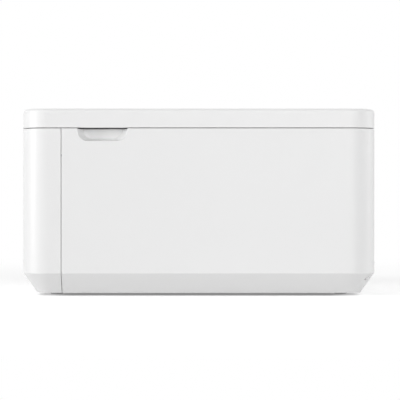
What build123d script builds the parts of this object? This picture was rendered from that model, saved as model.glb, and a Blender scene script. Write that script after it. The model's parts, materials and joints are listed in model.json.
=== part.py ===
from build123d import *
import os
from math import acos, atan, atan2, cos, pi, radians, sin, sqrt, tan

# A white all-in-one inkjet printer, in millimetres. The front faces -Y and +X is to the right.
# The origin is on the ground under the middle of the outline.

os.makedirs("parts", exist_ok=True)

# Outline of the machine, as the photograph shows it
body_width = 400.0
body_depth = 330.0
body_height = 211.0
corner_radius = 30.0
wall = 2.5
foot_height = 3.0
chamfer_height = 22.6
chamfer_inset = 16.0
lid_height = 21.4
lid_gap = 0.8
lid_edge_radius = 4.0
seam_gap = 0.6
pillar_width = 45.4
wrap_length = 38.0
rear_seam_inset = 35.0
rear_housing_depth = 60.0

# Finger recess in the top edge of the front cover
recess_from_pillar = 17.3
recess_top_width = 57.8
recess_low_width = 51.1
recess_height = 14.4
recess_depth = 13.0
recess_corner = 10.4
recess_side_slope = 0.5
recess_low_slope = 0.17
recess_floor_round = 2.0
recess_wall = 2.0
recess_top_gap = 0.8

# Clearances
fit = 0.05
slide_gap = 0.3
panel_gap = 0.4

# Places of the casing that follow from these
half_width = body_width / 2
half_depth = body_depth / 2
base_z = foot_height
chamfer_top = base_z + chamfer_height
lid_bottom = body_height - lid_height
body_top = lid_bottom - lid_gap
lid_rear = half_depth - rear_housing_depth
housing_front = lid_rear + lid_gap
front_seam_x = -half_width + pillar_width
rear_seam_x = half_width - rear_seam_inset
wrap_y = -half_depth + wrap_length

# Base tray
floor_thickness = 2.5
floor_z = base_z + floor_thickness
base_side_inset = 19.6
base_front_setback = 33.0
base_rear_setback = 20.0
base_rim_height = 9.0
foot_front_setback = 32.0
foot_diameter = 16.0
foot_chamfer = 0.75

# Front cover hinge
cover_pivot_setback = 14.0
cover_pivot_z = 20.0
cover_pin_radius = 2.5
cover_knuckle_radius = 4.5
cover_ear_rise = 18.0
arm_shoulder_reach = 3.6
arm_shoulder_drop = 2.7
arm_neck = 2.25
flange_reach = 10.0
cover_ear_width = 5.0
cover_ear_x = half_width - 62.0

# Paper sizes and the middle of the paper path
paper_middle_x = 10.0
paper_width = 216.0

# Scanner: the bezel's four margins leave an A4 window
scanner_depth = 28.3
scanner_floor = 2.0
scanner_side_setback = 10.0
scanner_front_setback = 19.0
scanner_wall = 2.5
bezel_thickness = 2.5
bezel_left = 50.0
bezel_right = 53.0
bezel_front = 45.0
bezel_rear = 15.0
glass_margin = 5.0
glass_thickness = 3.0
scan_bar_width = 18.0
scan_bar_height = 14.0
scan_bar_gap = 0.9
scan_rod_radius = 3.0
scan_rod_setback = 30.0
scan_rod_rise = 6.5
scan_belt_setback = 10.0
scan_pulley_radius = 5.0
scan_pulley_setback = 18.0

# Places of the scanner that follow from these
window_length = body_width - bezel_left - bezel_right
window_middle_x = (bezel_left - bezel_right) / 2
window_front = -half_depth + bezel_front
window_rear = lid_rear - bezel_rear
window_width = window_rear - window_front
window_middle_y = (window_front + window_rear) / 2
glass_top = body_top - bezel_thickness
scanner_floor_z = glass_top - scanner_depth
scanner_half_width = half_width - scanner_side_setback
scan_rod_y = window_rear - scan_rod_setback
scan_rod_z = scanner_floor_z + scan_rod_rise
scan_belt_y = window_rear - scan_belt_setback
scan_pulley_x = scanner_half_width - scan_pulley_setback

# Lid hinge
lid_post_x = 120.0
lid_post_width = 8.0
lid_post_reach = 3.5
lid_pin_radius = 2.0
lid_pin_length = 22.0
lid_notch_reach = 7.0
lid_wall = 2.5
lid_liner_thickness = 2.0

# Rear feed
feed_side_room = 10.0
feed_half = paper_width / 2 + feed_side_room
feed_open_front = housing_front + 6.2
feed_open_rear = half_depth - 3.4
flap_axis_y = feed_open_rear - 8.0
flap_axis_z = body_height - 5.5
flap_thickness = 2.6
flap_tail_radius = 7.0
flap_pin_radius = 2.0
flap_ear_radius = 3.6
support_thickness = 3.0
chute_lean = 39.0
chute_thickness = 2.0
chute_side_wall = 3.0
pickup_radius = 14.0
pickup_width = 36.0
pickup_up_slope = 20.0
pickup_shaft_radius = 3.0

# Print mechanism
paper_z = 72.0
frame_side_setback = 25.0
frame_rear_setback = 101.0
frame_length = 106.0
frame_sheet = 2.0
beam_lift = 4.0
beam_headroom = 8.0
carriage_width = 90.0
carriage_depth = 72.0
carriage_lift = 10.0
carriage_headroom = 10.0
carriage_park_setback = 50.0
carriage_rod_radius = 4.0
carriage_rod_drop = 38.0
carriage_belt_drop = 26.0
nozzle_lift = 1.6
carriage_pulley_radius = 6.0
carriage_pulley_setback = 15.0
belt_width = 5.0
belt_thickness = 1.2
feed_roller_radius = 6.0
exit_roller_radius = 5.0
exit_shaft_radius = 3.0
pinch_radius = 3.5
pinch_shaft_radius = 1.5
star_radius = 4.0
paper_nip = 0.3

# Gears
gear_module = 0.8
feed_teeth = 54
idler_teeth = 33
exit_teeth = 45
pinion_teeth = 18
gear_width = 6.0
gear_backlash = 0.12
pinion_angle = -50.0
shaft_end_radius = 4.0
idler_pin_radius = 2.5
motor_shaft_radius = 1.5
feed_gear_radius = gear_module * feed_teeth / 2
idler_gear_radius = gear_module * idler_teeth / 2
exit_gear_radius = gear_module * exit_teeth / 2
pinion_radius = gear_module * pinion_teeth / 2

# Places of the print mechanism that follow from these
frame_half_width = half_width - frame_side_setback
frame_rear_y = half_depth - frame_rear_setback
frame_front_y = frame_rear_y - frame_length
carriage_low_z = paper_z + carriage_lift
carriage_high_z = scanner_floor_z - carriage_headroom
carriage_rear_y = frame_rear_y - 17.0
carriage_front_y = carriage_rear_y - carriage_depth
carriage_park_x = frame_half_width - carriage_park_setback
carriage_rod_y = frame_rear_y - 34.0
carriage_rod_z = carriage_high_z - carriage_rod_drop
carriage_belt_y = frame_rear_y - 9.5
carriage_belt_z = carriage_high_z - carriage_belt_drop
carriage_pulley_x = frame_half_width - carriage_pulley_setback
beam_low_z = carriage_low_z + beam_lift
beam_high_z = scanner_floor_z - beam_headroom
nozzle_z = paper_z + nozzle_lift
feed_roller_y = frame_rear_y - 28.0
idler_y = feed_roller_y - feed_gear_radius - idler_gear_radius
exit_roller_y = idler_y - idler_gear_radius - exit_gear_radius

# Places of the rear feed that follow from these
chute_top_y = feed_open_rear - 4.6
chute_top_z = body_height - 13.0
chute_bend_y = chute_top_y - chute_lean
chute_bend_z = paper_z + 24.0
chute_end_y = frame_rear_y + 8.0
chute_end_z = paper_z + 1.0

# Control panel, between the left side and the rear feed
panel_width = 38.0
panel_left = -half_width + 12.0
panel_right = paper_middle_x - feed_half - 8.0
panel_length = panel_right - panel_left
panel_x = (panel_left + panel_right) / 2
panel_y = feed_open_front + panel_width / 2
button_radius = 5.0
button_flange = 0.9
button_end_gap = 14.0
button_pitch = panel_length / 2 - button_end_gap
button_gap = 0.3


def block(x0, x1, y0, y1, z0, z1):
    """Return the box between two opposite corners."""
    return Pos((x0 + x1) / 2, (y0 + y1) / 2, (z0 + z1) / 2) * Box(x1 - x0, y1 - y0, z1 - z0)


def centred(x, half_x, y, half_y, z0, z1):
    """Return the box about a middle in X and Y, between two heights."""
    return block(x - half_x, x + half_x, y - half_y, y + half_y, z0, z1)


def rod_x(radius, x0, x1, y, z):
    """Return a round bar along X."""
    return Pos((x0 + x1) / 2, y, z) * Rot(0, 90, 0) * Cylinder(radius, x1 - x0)


def rod_y(radius, x, y0, y1, z):
    """Return a round bar along Y."""
    return Pos(x, (y0 + y1) / 2, z) * Rot(90, 0, 0) * Cylinder(radius, y1 - y0)


def rod_z(radius, x, y, z0, z1):
    """Return a round bar along Z."""
    return Pos(x, y, (z0 + z1) / 2) * Cylinder(radius, z1 - z0)


def slab_x(points, x0, x1):
    """Return a plate that runs along X, from its outline in Y and Z."""
    outline = Plane.YZ * make_face(Polyline(*points, close=True))
    return Pos(x0, 0, 0) * extrude(outline, x1 - x0)


def save(name, part):
    """Write one node."""
    export_step(part, "parts/" + name + ".step")


def rounded_plate(width, depth, radius, z0, z1):
    """Return an upright-cornered plate about the middle of the outline."""
    return Pos(0, 0, z0) * extrude(RectangleRounded(width, depth, radius), z1 - z0)


def casing_form(inset, top):
    """Return the body's outer form drawn in by inset, from its bottom edge up to top."""
    slope = atan(chamfer_inset / chamfer_height)
    low_inset = chamfer_inset + inset / cos(slope)
    kink = base_z + (low_inset - inset) / tan(slope)
    wide = RectangleRounded(body_width - 2 * inset, body_depth - 2 * inset, corner_radius - inset)
    narrow = RectangleRounded(
        body_width - 2 * low_inset, body_depth - 2 * low_inset, corner_radius - low_inset
    )
    upper = Pos(0, 0, kink) * extrude(wide, top - kink)
    lower = loft([Pos(0, 0, base_z) * narrow, Pos(0, 0, kink) * wide], ruled=True)
    return upper + lower


cover_pivot_y = -half_depth + cover_pivot_setback
lip_radius = wrap_y - cover_pivot_y
cover_left = front_seam_x + seam_gap / 2
pillar_right = front_seam_x - seam_gap / 2


def casing_walls():
    """Return the body's wall all round, before it is parted into covers."""
    return casing_form(0, body_top) - casing_form(wall, body_top + wall)


def front_cover_zone(grow):
    """Return the space that the front cover takes, grown by a seam."""
    left = cover_left - grow
    right = half_width + wall
    front = block(left, right, -half_depth - wall, cover_pivot_y, 0, body_top)
    wrap = block(left, right, cover_pivot_y - wall, wrap_y + grow, cover_pivot_z, body_top)
    lip = rod_x(lip_radius + grow, left, right, cover_pivot_y, cover_pivot_z)
    return front + wrap + lip


def recess_outline(grow, depth):
    """Return the outline of the finger recess at a depth behind the front face."""
    middle = cover_left + recess_from_pillar + recess_top_width / 2
    lean = (recess_top_width - recess_low_width) / 2 / recess_height
    rise = recess_depth
    top = body_top + rise
    low = body_top - recess_height - grow + recess_low_slope * depth
    inset = recess_side_slope * depth
    half_top = recess_top_width / 2 + lean * rise + grow - inset
    half_low = recess_low_width / 2 + grow - inset
    plane = Plane(origin=(middle, -half_depth + depth, 0), x_dir=(1, 0, 0), z_dir=(0, 1, 0))
    outline = Polygon((-half_top, -top), (half_top, -top), (half_low, -low), (-half_low, -low), align=None)
    return plane * fillet(outline.vertices().group_by(Axis.Y)[-1], recess_corner + grow)


def recess_form(grow, depth):
    """Return the scooped finger recess, grown by a wall, from the front face inwards."""
    form = loft([recess_outline(grow, 0), recess_outline(grow, depth)], ruled=True)
    return fillet(form.faces().sort_by(Axis.Y)[-1].edges(), recess_floor_round + grow)


def cover_ears():
    """Return the two ears that carry the front cover on its pins."""
    ears = []
    for side in (-1, 1):
        inner = side * (cover_ear_x + cover_ear_width + panel_gap)
        outer = side * (cover_ear_x + 2 * cover_ear_width + panel_gap)
        x0 = min(inner, outer)
        x1 = max(inner, outer)
        arm = slab_x(
            [
                (cover_pivot_y, cover_pivot_z + cover_knuckle_radius),
                (-half_depth + wall / 2, cover_pivot_z + cover_ear_rise),
                (-half_depth + wall / 2, chamfer_top),
                (cover_pivot_y - arm_shoulder_reach, cover_pivot_z - arm_shoulder_drop),
                (cover_pivot_y, cover_pivot_z),
            ],
            x0,
            x1,
        )
        ears.append(arm + rod_x(cover_knuckle_radius, x0, x1, cover_pivot_y, cover_pivot_z))
    return ears


def make_front_cover():
    """Front cover: the panel that folds down, with its finger recess and its wrap round the right corner."""
    cover = casing_walls() & front_cover_zone(0)
    behind_face = block(-half_width, half_width, -half_depth + wall / 2, 0, 0, body_top - recess_top_gap)
    cup = recess_form(recess_wall, recess_depth + recess_wall) & behind_face
    flange_top = body_top - 2 * bezel_thickness
    flange = block(
        cover_left, cover_left + wall, -half_depth + wall / 2, -half_depth + flange_reach, 0, flange_top
    )
    cover += cup
    cover += flange & casing_form(wall / 2, body_top)
    for ear in cover_ears():
        cover += ear
    cover -= recess_form(0, recess_depth)
    cover -= rod_x(cover_pin_radius + fit, -half_width, half_width, cover_pivot_y, cover_pivot_z)
    top_sweep = rod_x(
        lid_bottom - panel_gap - cover_pivot_z, -half_width - 1, half_width + 1, cover_pivot_y, cover_pivot_z
    )
    relief = block(0, half_width + 1, cover_pivot_y, 0, body_top / 2, body_height)
    return cover - (relief - top_sweep)


liner_back = -half_depth + wall
extension_thickness = 3.0
extension_width = 170.0
extension_notch_radius = 21.25
liner_skin = 2.0
liner_face = liner_back + extension_thickness + 2 * slide_gap
liner_low_z = 44.0
liner_high_z = body_top - 18.8
extension_low_z = liner_low_z + 5.8
extension_high_z = liner_high_z - wall / 2
liner_right = half_width - corner_radius - wall
liner_left = cover_left + wall + panel_gap


def make_front_cover_liner():
    """Inner panel of the front cover, which holds the tray extension and takes the sheets when open."""
    liner = block(liner_left, liner_right, liner_back, liner_face + liner_skin, liner_low_z, liner_high_z)
    hollow = block(
        liner_left + wall, liner_right - wall, liner_back - 1, liner_face, liner_low_z + wall,
        liner_high_z - wall
    )
    slot_half = extension_width / 2 + slide_gap
    slot = block(
        paper_middle_x - slot_half, paper_middle_x + slot_half, liner_back - 1, liner_face,
        liner_high_z - 2 * wall, liner_high_z + 1
    )
    liner = liner - hollow - slot
    for side in (-1, 1):
        edge = paper_middle_x + side * (slot_half + wall / 2)
        liner += block(
            edge - wall / 2, edge + wall / 2, liner_back, liner_face + liner_skin / 2, liner_low_z,
            liner_high_z
        )
    return liner


def make_tray_extension():
    """Flat tray extension that slides out of the far end of the open front cover."""
    half = extension_width / 2
    plate = block(
        paper_middle_x - half, paper_middle_x + half, liner_back + slide_gap, liner_face - slide_gap,
        extension_low_z, extension_high_z
    )
    return plate - rod_y(extension_notch_radius, paper_middle_x, liner_back, liner_face, extension_high_z)


def make_front_cover_hinge_pins():
    """The two pins that the front cover turns on."""
    pins = []
    for side in (-1, 1):
        a = side * (cover_ear_x - 1)
        b = side * (cover_ear_x + 2 * cover_ear_width + 2 * panel_gap)
        pins.append(rod_x(cover_pin_radius, min(a, b), max(a, b), cover_pivot_y, cover_pivot_z))
    return Compound(pins)


base_front = -half_depth + base_front_setback
base_rear = half_depth - base_rear_setback
base_half = half_width - base_side_inset
base_corner = 12.0
rim_thickness = 2.0
rim_top = base_z + base_rim_height
foot_x = base_half - foot_diameter
tower_depth = 4.0
tower_rise = 28.0
arm_depth = 12.0


def make_base_tray():
    """Base tray: the floor that everything stands on, its rim, and the ears of the front cover's hinge."""
    middle_y = (base_front + base_rear) / 2
    outline = RectangleRounded(2 * base_half, base_rear - base_front + 2 * base_corner, base_corner)
    inner = RectangleRounded(
        2 * (base_half - rim_thickness), base_rear - base_front + 2 * (base_corner - rim_thickness),
        base_corner - rim_thickness
    )
    tray = Pos(0, middle_y - base_corner, base_z) * extrude(outline, base_rim_height)
    tray -= Pos(0, middle_y - base_corner, floor_z) * extrude(inner, base_rim_height)
    tray &= block(-half_width, half_width, base_front, half_depth, 0, body_top)
    tower_top = cover_pivot_z + tower_rise
    for side in (-1, 1):
        a = side * cover_ear_x
        b = side * (cover_ear_x + cover_ear_width)
        x0 = min(a, b)
        x1 = max(a, b)
        tray += block(x0, x1, base_front, base_front + tower_depth, base_z, tower_top)
        arm = slab_x(
            [
                (cover_pivot_y - arm_neck, cover_pivot_z + arm_shoulder_reach),
                (base_front, tower_top),
                (base_front + tower_depth, tower_top),
                (base_front + tower_depth, tower_top - arm_depth),
                (cover_pivot_y + arm_shoulder_reach, cover_pivot_z - arm_neck),
            ],
            x0,
            x1,
        )
        knuckle = rod_x(cover_knuckle_radius, x0, x1, cover_pivot_y, cover_pivot_z)
        hole = rod_x(cover_pin_radius + fit, x0 - 1, x1 + 1, cover_pivot_y, cover_pivot_z)
        tray = tray + arm + knuckle - hole
    return tray


def make_rubber_feet():
    """Four round feet under the base tray."""
    feet = []
    for x in (-foot_x, foot_x):
        for y in (base_front + foot_front_setback, base_rear - foot_diameter):
            foot = rod_z(foot_diameter / 2, x, y, 0, base_z)
            feet.append(chamfer(foot.edges().group_by(Axis.Z)[0], foot_chamfer))
    return Compound(feet)


side_return = 2.5
side_return_width = 40.0
return_top = scanner_floor_z - 1.0


def make_left_side_cover():
    """Left cover: the left side, the pillar at its front corner and the rear left corner."""
    walls = casing_walls()
    front = walls & block(-half_width - 1, pillar_right, -half_depth - 1, 0, 0, body_top)
    rear = walls & block(-half_width - 1, -rear_seam_x - seam_gap / 2, 0, half_depth + 1, 0, body_top)
    back = block(
        pillar_right - side_return, pillar_right, -half_depth + wall / 2, base_front - 1, base_z, return_top
    )
    return front + rear + (back & casing_form(wall / 2, body_top))


def make_right_side_cover():
    """Right cover: the right side behind the front cover's wrap, and the rear right corner."""
    walls = casing_walls()
    front = walls & block(half_width / 2, half_width + 1, -half_depth - 1, 0, 0, body_top)
    rear = walls & block(rear_seam_x + seam_gap / 2, half_width + 1, 0, half_depth + 1, 0, body_top)
    front_of_return = wrap_y + seam_gap
    back = block(
        half_width - side_return_width, half_width - wall / 2, front_of_return, front_of_return + side_return,
        rim_top + panel_gap, return_top
    )
    return (front - front_cover_zone(seam_gap)) + rear + (back & casing_form(wall / 2, body_top))


usb_x = -rear_seam_x + 25.0
usb_z = 44.0
usb_width = 13.0
usb_height = 12.0
inlet_x = rear_seam_x - 17.0
inlet_z = 48.0
inlet_width = 26.0
inlet_height = 16.0


def make_rear_cover():
    """Rear cover, with the openings for the USB socket and the power inlet."""
    edge = rear_seam_x - seam_gap / 2
    cover = casing_walls() & block(-edge, edge, 0, half_depth + 1, 0, body_top)
    usb_half = usb_width / 2 + slide_gap
    usb_rise = usb_height / 2 + slide_gap
    inlet_half = inlet_width / 2 + slide_gap
    inlet_rise = inlet_height / 2 + slide_gap
    usb = block(
        usb_x - usb_half, usb_x + usb_half, base_rear, half_depth + 1, usb_z - usb_rise, usb_z + usb_rise
    )
    inlet = block(
        inlet_x - inlet_half, inlet_x + inlet_half, base_rear, half_depth + 1, inlet_z - inlet_rise,
        inlet_z + inlet_rise
    )
    return cover - usb - inlet


lid_axis_y = lid_rear - lid_edge_radius
lid_axis_z = body_height - lid_edge_radius
boss_width = 7.5
notch_half = lid_post_width / 2 + seam_gap


def make_lid_shell():
    """Lid shell: the full-width document cover, rounded along its top edge."""
    outline = RectangleRounded(body_width, body_depth, corner_radius)
    in_front = block(-half_width, half_width, -half_depth, lid_rear, 0, body_height)
    lid = (Pos(0, 0, lid_bottom) * extrude(outline, lid_height)) & in_front
    lid = fillet(lid.faces().sort_by(Axis.Z)[-1].edges(), lid_edge_radius)
    inner = RectangleRounded(body_width - 2 * lid_wall, body_depth - 2 * lid_wall, corner_radius - lid_wall)
    inner_front = block(-half_width, half_width, -half_depth, lid_rear - lid_wall, 0, body_height)
    lid -= (Pos(0, 0, lid_bottom) * extrude(inner, lid_height - lid_wall)) & inner_front
    for side in (-1, 1):
        middle = side * lid_post_x
        boss_half = notch_half + boss_width
        lid += block(
            middle - boss_half, middle + boss_half, lid_axis_y - lid_notch_reach, lid_rear - lid_wall / 2,
            lid_bottom, body_height - lid_wall / 2
        )
        lid -= block(
            middle - notch_half, middle + notch_half, lid_axis_y - lid_notch_reach, lid_rear + 1,
            lid_bottom - 1, body_height + 1
        )
        pin_half = lid_pin_length / 2 + slide_gap
        lid -= rod_x(lid_pin_radius + fit, middle - pin_half, middle + pin_half, lid_axis_y, lid_axis_z)
    return lid


def make_lid_liner():
    """Flat plate that closes the lid from below."""
    gap = lid_wall + slide_gap
    outline = RectangleRounded(body_width - 2 * gap, body_depth - 2 * gap, corner_radius - gap)
    rear = lid_axis_y - lid_notch_reach - panel_gap
    cut = block(-half_width, half_width, -half_depth, rear, 0, body_height)
    return (Pos(0, 0, lid_bottom) * extrude(outline, lid_liner_thickness)) & cut


pad_margin = 2.0


def make_document_pad():
    """Foam pad under the lid that presses the page on the glass."""
    half_x = window_length / 2 - pad_margin
    half_y = window_width / 2 - pad_margin
    return centred(window_middle_x, half_x, window_middle_y, half_y, glass_top + slide_gap, lid_bottom)


def make_lid_hinges():
    """The two hinge posts on the scanner, with the pins that the lid turns on."""
    posts = []
    for side in (-1, 1):
        middle = side * lid_post_x
        x0 = middle - lid_post_width / 2
        x1 = middle + lid_post_width / 2
        post = block(x0, x1, lid_axis_y - lid_post_reach, lid_axis_y + lid_post_reach, body_top, lid_axis_z)
        post += rod_x(lid_post_reach, x0, x1, lid_axis_y, lid_axis_z)
        post += rod_x(
            lid_pin_radius, middle - lid_pin_length / 2, middle + lid_pin_length / 2, lid_axis_y, lid_axis_z
        )
        posts.append(post)
    return Compound(posts)


def build_casing():
    """Write the casing, the lid and the front cover."""
    save("base_tray", make_base_tray())
    save("rubber_feet", make_rubber_feet())
    save("left_side_cover", make_left_side_cover())
    save("right_side_cover", make_right_side_cover())
    save("rear_cover", make_rear_cover())
    save("front_cover", make_front_cover())
    save("front_cover_liner", make_front_cover_liner())
    save("tray_extension", make_tray_extension())
    save("front_cover_hinge_pins", make_front_cover_hinge_pins())
    save("lid_shell", make_lid_shell())
    save("lid_liner", make_lid_liner())
    save("document_pad", make_document_pad())
    save("lid_hinges", make_lid_hinges())


scanner_front = -half_depth + scanner_front_setback
scanner_rear = lid_rear - panel_gap
scanner_tray_top = scanner_floor_z + scanner_floor
glass_bottom = glass_top - glass_thickness
notch_gap = 1.5
rod_block = 5.0
rod_block_x = scanner_half_width - scanner_wall - 1.5
scan_belt_z = scan_rod_z
idler_post_radius = 2.0
drive_hole_radius = 3.0


def make_scanner_frame():
    """Upper scanner housing: the flat bezel round the glass and the walls below it."""
    inset = wall + panel_gap
    outline = RectangleRounded(body_width - 2 * inset, body_depth - 2 * inset, corner_radius - inset)
    in_front = block(-half_width, half_width, -half_depth, scanner_rear, 0, body_height)
    frame = (Pos(0, 0, glass_top) * extrude(outline, bezel_thickness)) & in_front
    frame += block(
        -scanner_half_width, scanner_half_width, scanner_front, scanner_rear, scanner_tray_top, glass_top
    )
    frame -= block(
        -scanner_half_width + scanner_wall, scanner_half_width - scanner_wall, scanner_front + scanner_wall,
        scanner_rear - scanner_wall, scanner_tray_top - 1, glass_top
    )
    frame -= centred(
        window_middle_x, window_length / 2, window_middle_y, window_width / 2, glass_top - 1, body_height
    )
    return frame - recess_form(recess_wall + notch_gap, recess_depth + recess_wall + notch_gap)


def make_scanner_glass():
    """Flat glass under the bezel."""
    half_x = window_length / 2 + glass_margin
    half_y = window_width / 2 + glass_margin
    return centred(window_middle_x, half_x, window_middle_y, half_y, glass_bottom, glass_top)


def make_scanner_tray():
    """Floor of the scanner, with the blocks that hold the guide rod and the pin of the idler pulley."""
    tray = block(
        -scanner_half_width, scanner_half_width, scanner_front, scanner_rear, scanner_floor_z,
        scanner_tray_top
    )
    for side in (-1, 1):
        middle = side * (rod_block_x - rod_block / 2)
        tray += centred(
            middle, rod_block / 2, scan_rod_y, rod_block, scanner_floor_z, scan_rod_z + rod_block
        )
    tray -= rod_x(scan_rod_radius + fit, -rod_block_x - 1, rod_block_x + 1, scan_rod_y, scan_rod_z)
    post_top = scan_belt_z + belt_width / 2
    tray += rod_z(idler_post_radius, scan_pulley_x, scan_belt_y, scanner_floor_z, post_top)
    return tray - rod_z(
        drive_hole_radius, -scan_pulley_x, scan_belt_y, scanner_floor_z - 1, scanner_tray_top + 1
    )


scan_bar_x = window_middle_x - window_length / 2 - 6.0
bar_bearing_half = 8.0
bar_grip_half = 3.0


def make_scan_bar():
    """Contact image bar under the glass, with its bearing on the rod and its grip on the belt."""
    half_y = window_width / 2 + glass_margin
    top = glass_bottom - scan_bar_gap
    x0 = scan_bar_x - scan_bar_width / 2
    x1 = scan_bar_x + scan_bar_width / 2
    low = scanner_tray_top + scan_bar_gap
    bar = block(x0, x1, window_middle_y - half_y, window_middle_y + half_y, top - scan_bar_height, top)
    bar += block(x0, x1, scan_rod_y - bar_bearing_half, scan_rod_y + bar_bearing_half, low, top - 1)
    bar -= rod_x(scan_rod_radius + fit, x0 - 1, x1 + 1, scan_rod_y, scan_rod_z)
    run_y = scan_belt_y - scan_pulley_radius - slide_gap - belt_thickness / 2
    bar += block(x0, x1, run_y - bar_grip_half, run_y + bar_grip_half, low, top - 1)
    return bar - block(
        x0 - 1, x1 + 1, run_y - belt_thickness / 2 - slide_gap, run_y + belt_thickness / 2 + slide_gap,
        scan_belt_z - belt_width / 2 - slide_gap, scan_belt_z + belt_width / 2 + slide_gap
    )


def belt_loop(span, radius):
    """Return a flat belt round two pulleys, lying in the XY plane about the middle of its span."""
    outer = SlotCenterToCenter(span, 2 * (radius + slide_gap + belt_thickness))
    inner = SlotCenterToCenter(span, 2 * (radius + slide_gap))
    return extrude(outer - inner, belt_width / 2, both=True)


flange_thickness = 0.5
flange_lip = 0.6
pulley_half = belt_width / 2 + slide_gap + flange_thickness


def pulley(radius, bore):
    """Return an upright pulley with a flange at each end, about the origin."""
    flange = radius + slide_gap + belt_thickness + flange_lip
    body = rod_z(radius, 0, 0, -pulley_half, pulley_half)
    body += rod_z(flange, 0, 0, -pulley_half, flange_thickness - pulley_half)
    body += rod_z(flange, 0, 0, pulley_half - flange_thickness, pulley_half)
    return body - rod_z(bore, 0, 0, -pulley_half - 1, pulley_half + 1) if bore else body


scan_motor_radius = 12.0
scan_motor_height = 18.0
motor_bore_depth = 9.0
motor_shaft_reach = 8.0


def make_scan_drive_pulley():
    """Drive pulley of the scanner, on the shaft of its motor."""
    wheel = pulley(scan_pulley_radius, 0)
    wheel += rod_z(motor_shaft_radius, 0, 0, scanner_floor_z - motor_shaft_reach - scan_belt_z, 0)
    return Pos(-scan_pulley_x, scan_belt_y, scan_belt_z) * wheel


def make_scan_idler_pulley():
    """Idler pulley of the scanner, on the pin of the scanner tray."""
    wheel = pulley(scan_pulley_radius, idler_post_radius + fit)
    return Pos(scan_pulley_x, scan_belt_y, scan_belt_z) * wheel


def make_scan_motor():
    """Scanner motor, hung under the scanner tray."""
    low = scanner_floor_z - scan_motor_height
    motor = rod_z(scan_motor_radius, -scan_pulley_x, scan_belt_y, low, scanner_floor_z)
    bore_low = scanner_floor_z - motor_bore_depth
    return motor - rod_z(motor_shaft_radius + fit, -scan_pulley_x, scan_belt_y, bore_low, scanner_floor_z)


housing_bottom = body_top + slide_gap
housing_edge_radius = 3.0
housing_top_inner = body_height - wall
lug_width = 4.0
lug_half = 4.0
housing_lip = 2.0
housing_lip_drop = 5.0
panel_flange = 2.0
panel_rise = 0.4
panel_thickness = 4.2
button_foot = 2.0
button_clearance = 0.2


def make_rear_top_housing():
    """Top housing behind the lid, with the openings of the control panel and the rear paper feed."""
    behind = block(-half_width, half_width, housing_front, half_depth, 0, body_height)
    outline = RectangleRounded(body_width, body_depth, corner_radius)
    housing = (Pos(0, 0, housing_bottom) * extrude(outline, body_height - housing_bottom)) & behind
    edges = housing.faces().sort_by(Axis.Z)[-1].edges().sort_by(Axis.Y)[1:]
    housing = fillet(edges, housing_edge_radius)
    inner = RectangleRounded(body_width - 2 * wall, body_depth - 2 * wall, corner_radius - wall)
    behind_wall = block(-half_width, half_width, housing_front + wall, half_depth, 0, body_height)
    housing -= (Pos(0, 0, housing_bottom) * extrude(inner, housing_top_inner - housing_bottom)) & behind_wall
    lip_outer = wall + slide_gap
    lip_inner = lip_outer + housing_lip
    ledge_top = housing_bottom + housing_lip
    lip_low = housing_bottom - housing_lip_drop
    ledge = rounded_plate(
        body_width - wall, body_depth - wall, corner_radius - wall / 2, housing_bottom, ledge_top
    )
    lip = rounded_plate(
        body_width - 2 * lip_outer, body_depth - 2 * lip_outer, corner_radius - lip_outer, lip_low, ledge_top
    )
    core = rounded_plate(
        body_width - 2 * lip_inner, body_depth - 2 * lip_inner, corner_radius - lip_inner, lip_low - 1,
        ledge_top + 1
    )
    housing += ((ledge + lip) - core) & behind_wall
    housing -= block(
        paper_middle_x - feed_half, paper_middle_x + feed_half, feed_open_front, feed_open_rear,
        housing_top_inner - 1, body_height + 1
    )
    housing -= centred(
        panel_x, panel_length / 2, panel_y, panel_width / 2, housing_top_inner - 1, body_height + 1
    )
    for side in (-1, 1):
        inner_x = paper_middle_x + side * (feed_half + slide_gap)
        outer_x = inner_x + side * lug_width
        x0 = min(inner_x, outer_x)
        x1 = max(inner_x, outer_x)
        housing += block(
            x0, x1, flap_axis_y - lug_half, flap_axis_y + lug_half, flap_axis_z - lug_half,
            housing_top_inner + 1
        )
        housing -= rod_x(flap_pin_radius + fit, x0 - 1, x1 + 1, flap_axis_y, flap_axis_z)
    return housing


def make_control_panel():
    """Control panel, set flush in the top of the housing, with the holes of its three buttons."""
    top = body_height - panel_rise
    shoulder = housing_top_inner
    half_x = panel_length / 2 - panel_gap
    half_y = panel_width / 2 - panel_gap
    low = top - panel_thickness
    panel = centred(panel_x, half_x, panel_y, half_y, low, top)
    panel += centred(panel_x, half_x + panel_flange, panel_y, half_y + panel_flange, low, shoulder)
    for place in (-1, 0, 1):
        panel -= rod_z(button_radius + button_gap, panel_x + place * button_pitch, panel_y, 0, body_height)
    return panel


def make_button(place):
    """Push button of the control panel, with the flange that keeps it in."""
    x = panel_x + place * button_pitch
    high = body_height - panel_rise - panel_thickness - button_clearance
    low = high - button_foot
    return rod_z(button_radius, x, panel_y, low, body_height) + rod_z(
        button_radius + button_flange, x, panel_y, low, high
    )


flap_front = feed_open_front + seam_gap
flap_half = feed_half - seam_gap
flap_low = body_height - flap_thickness
support_half = 85.0
support_length = 36.0
support_rear_y = flap_axis_y - 2.0
rail_width = 3.0
rail_lip = 3.0
rail_lip_thickness = 1.2


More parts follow.
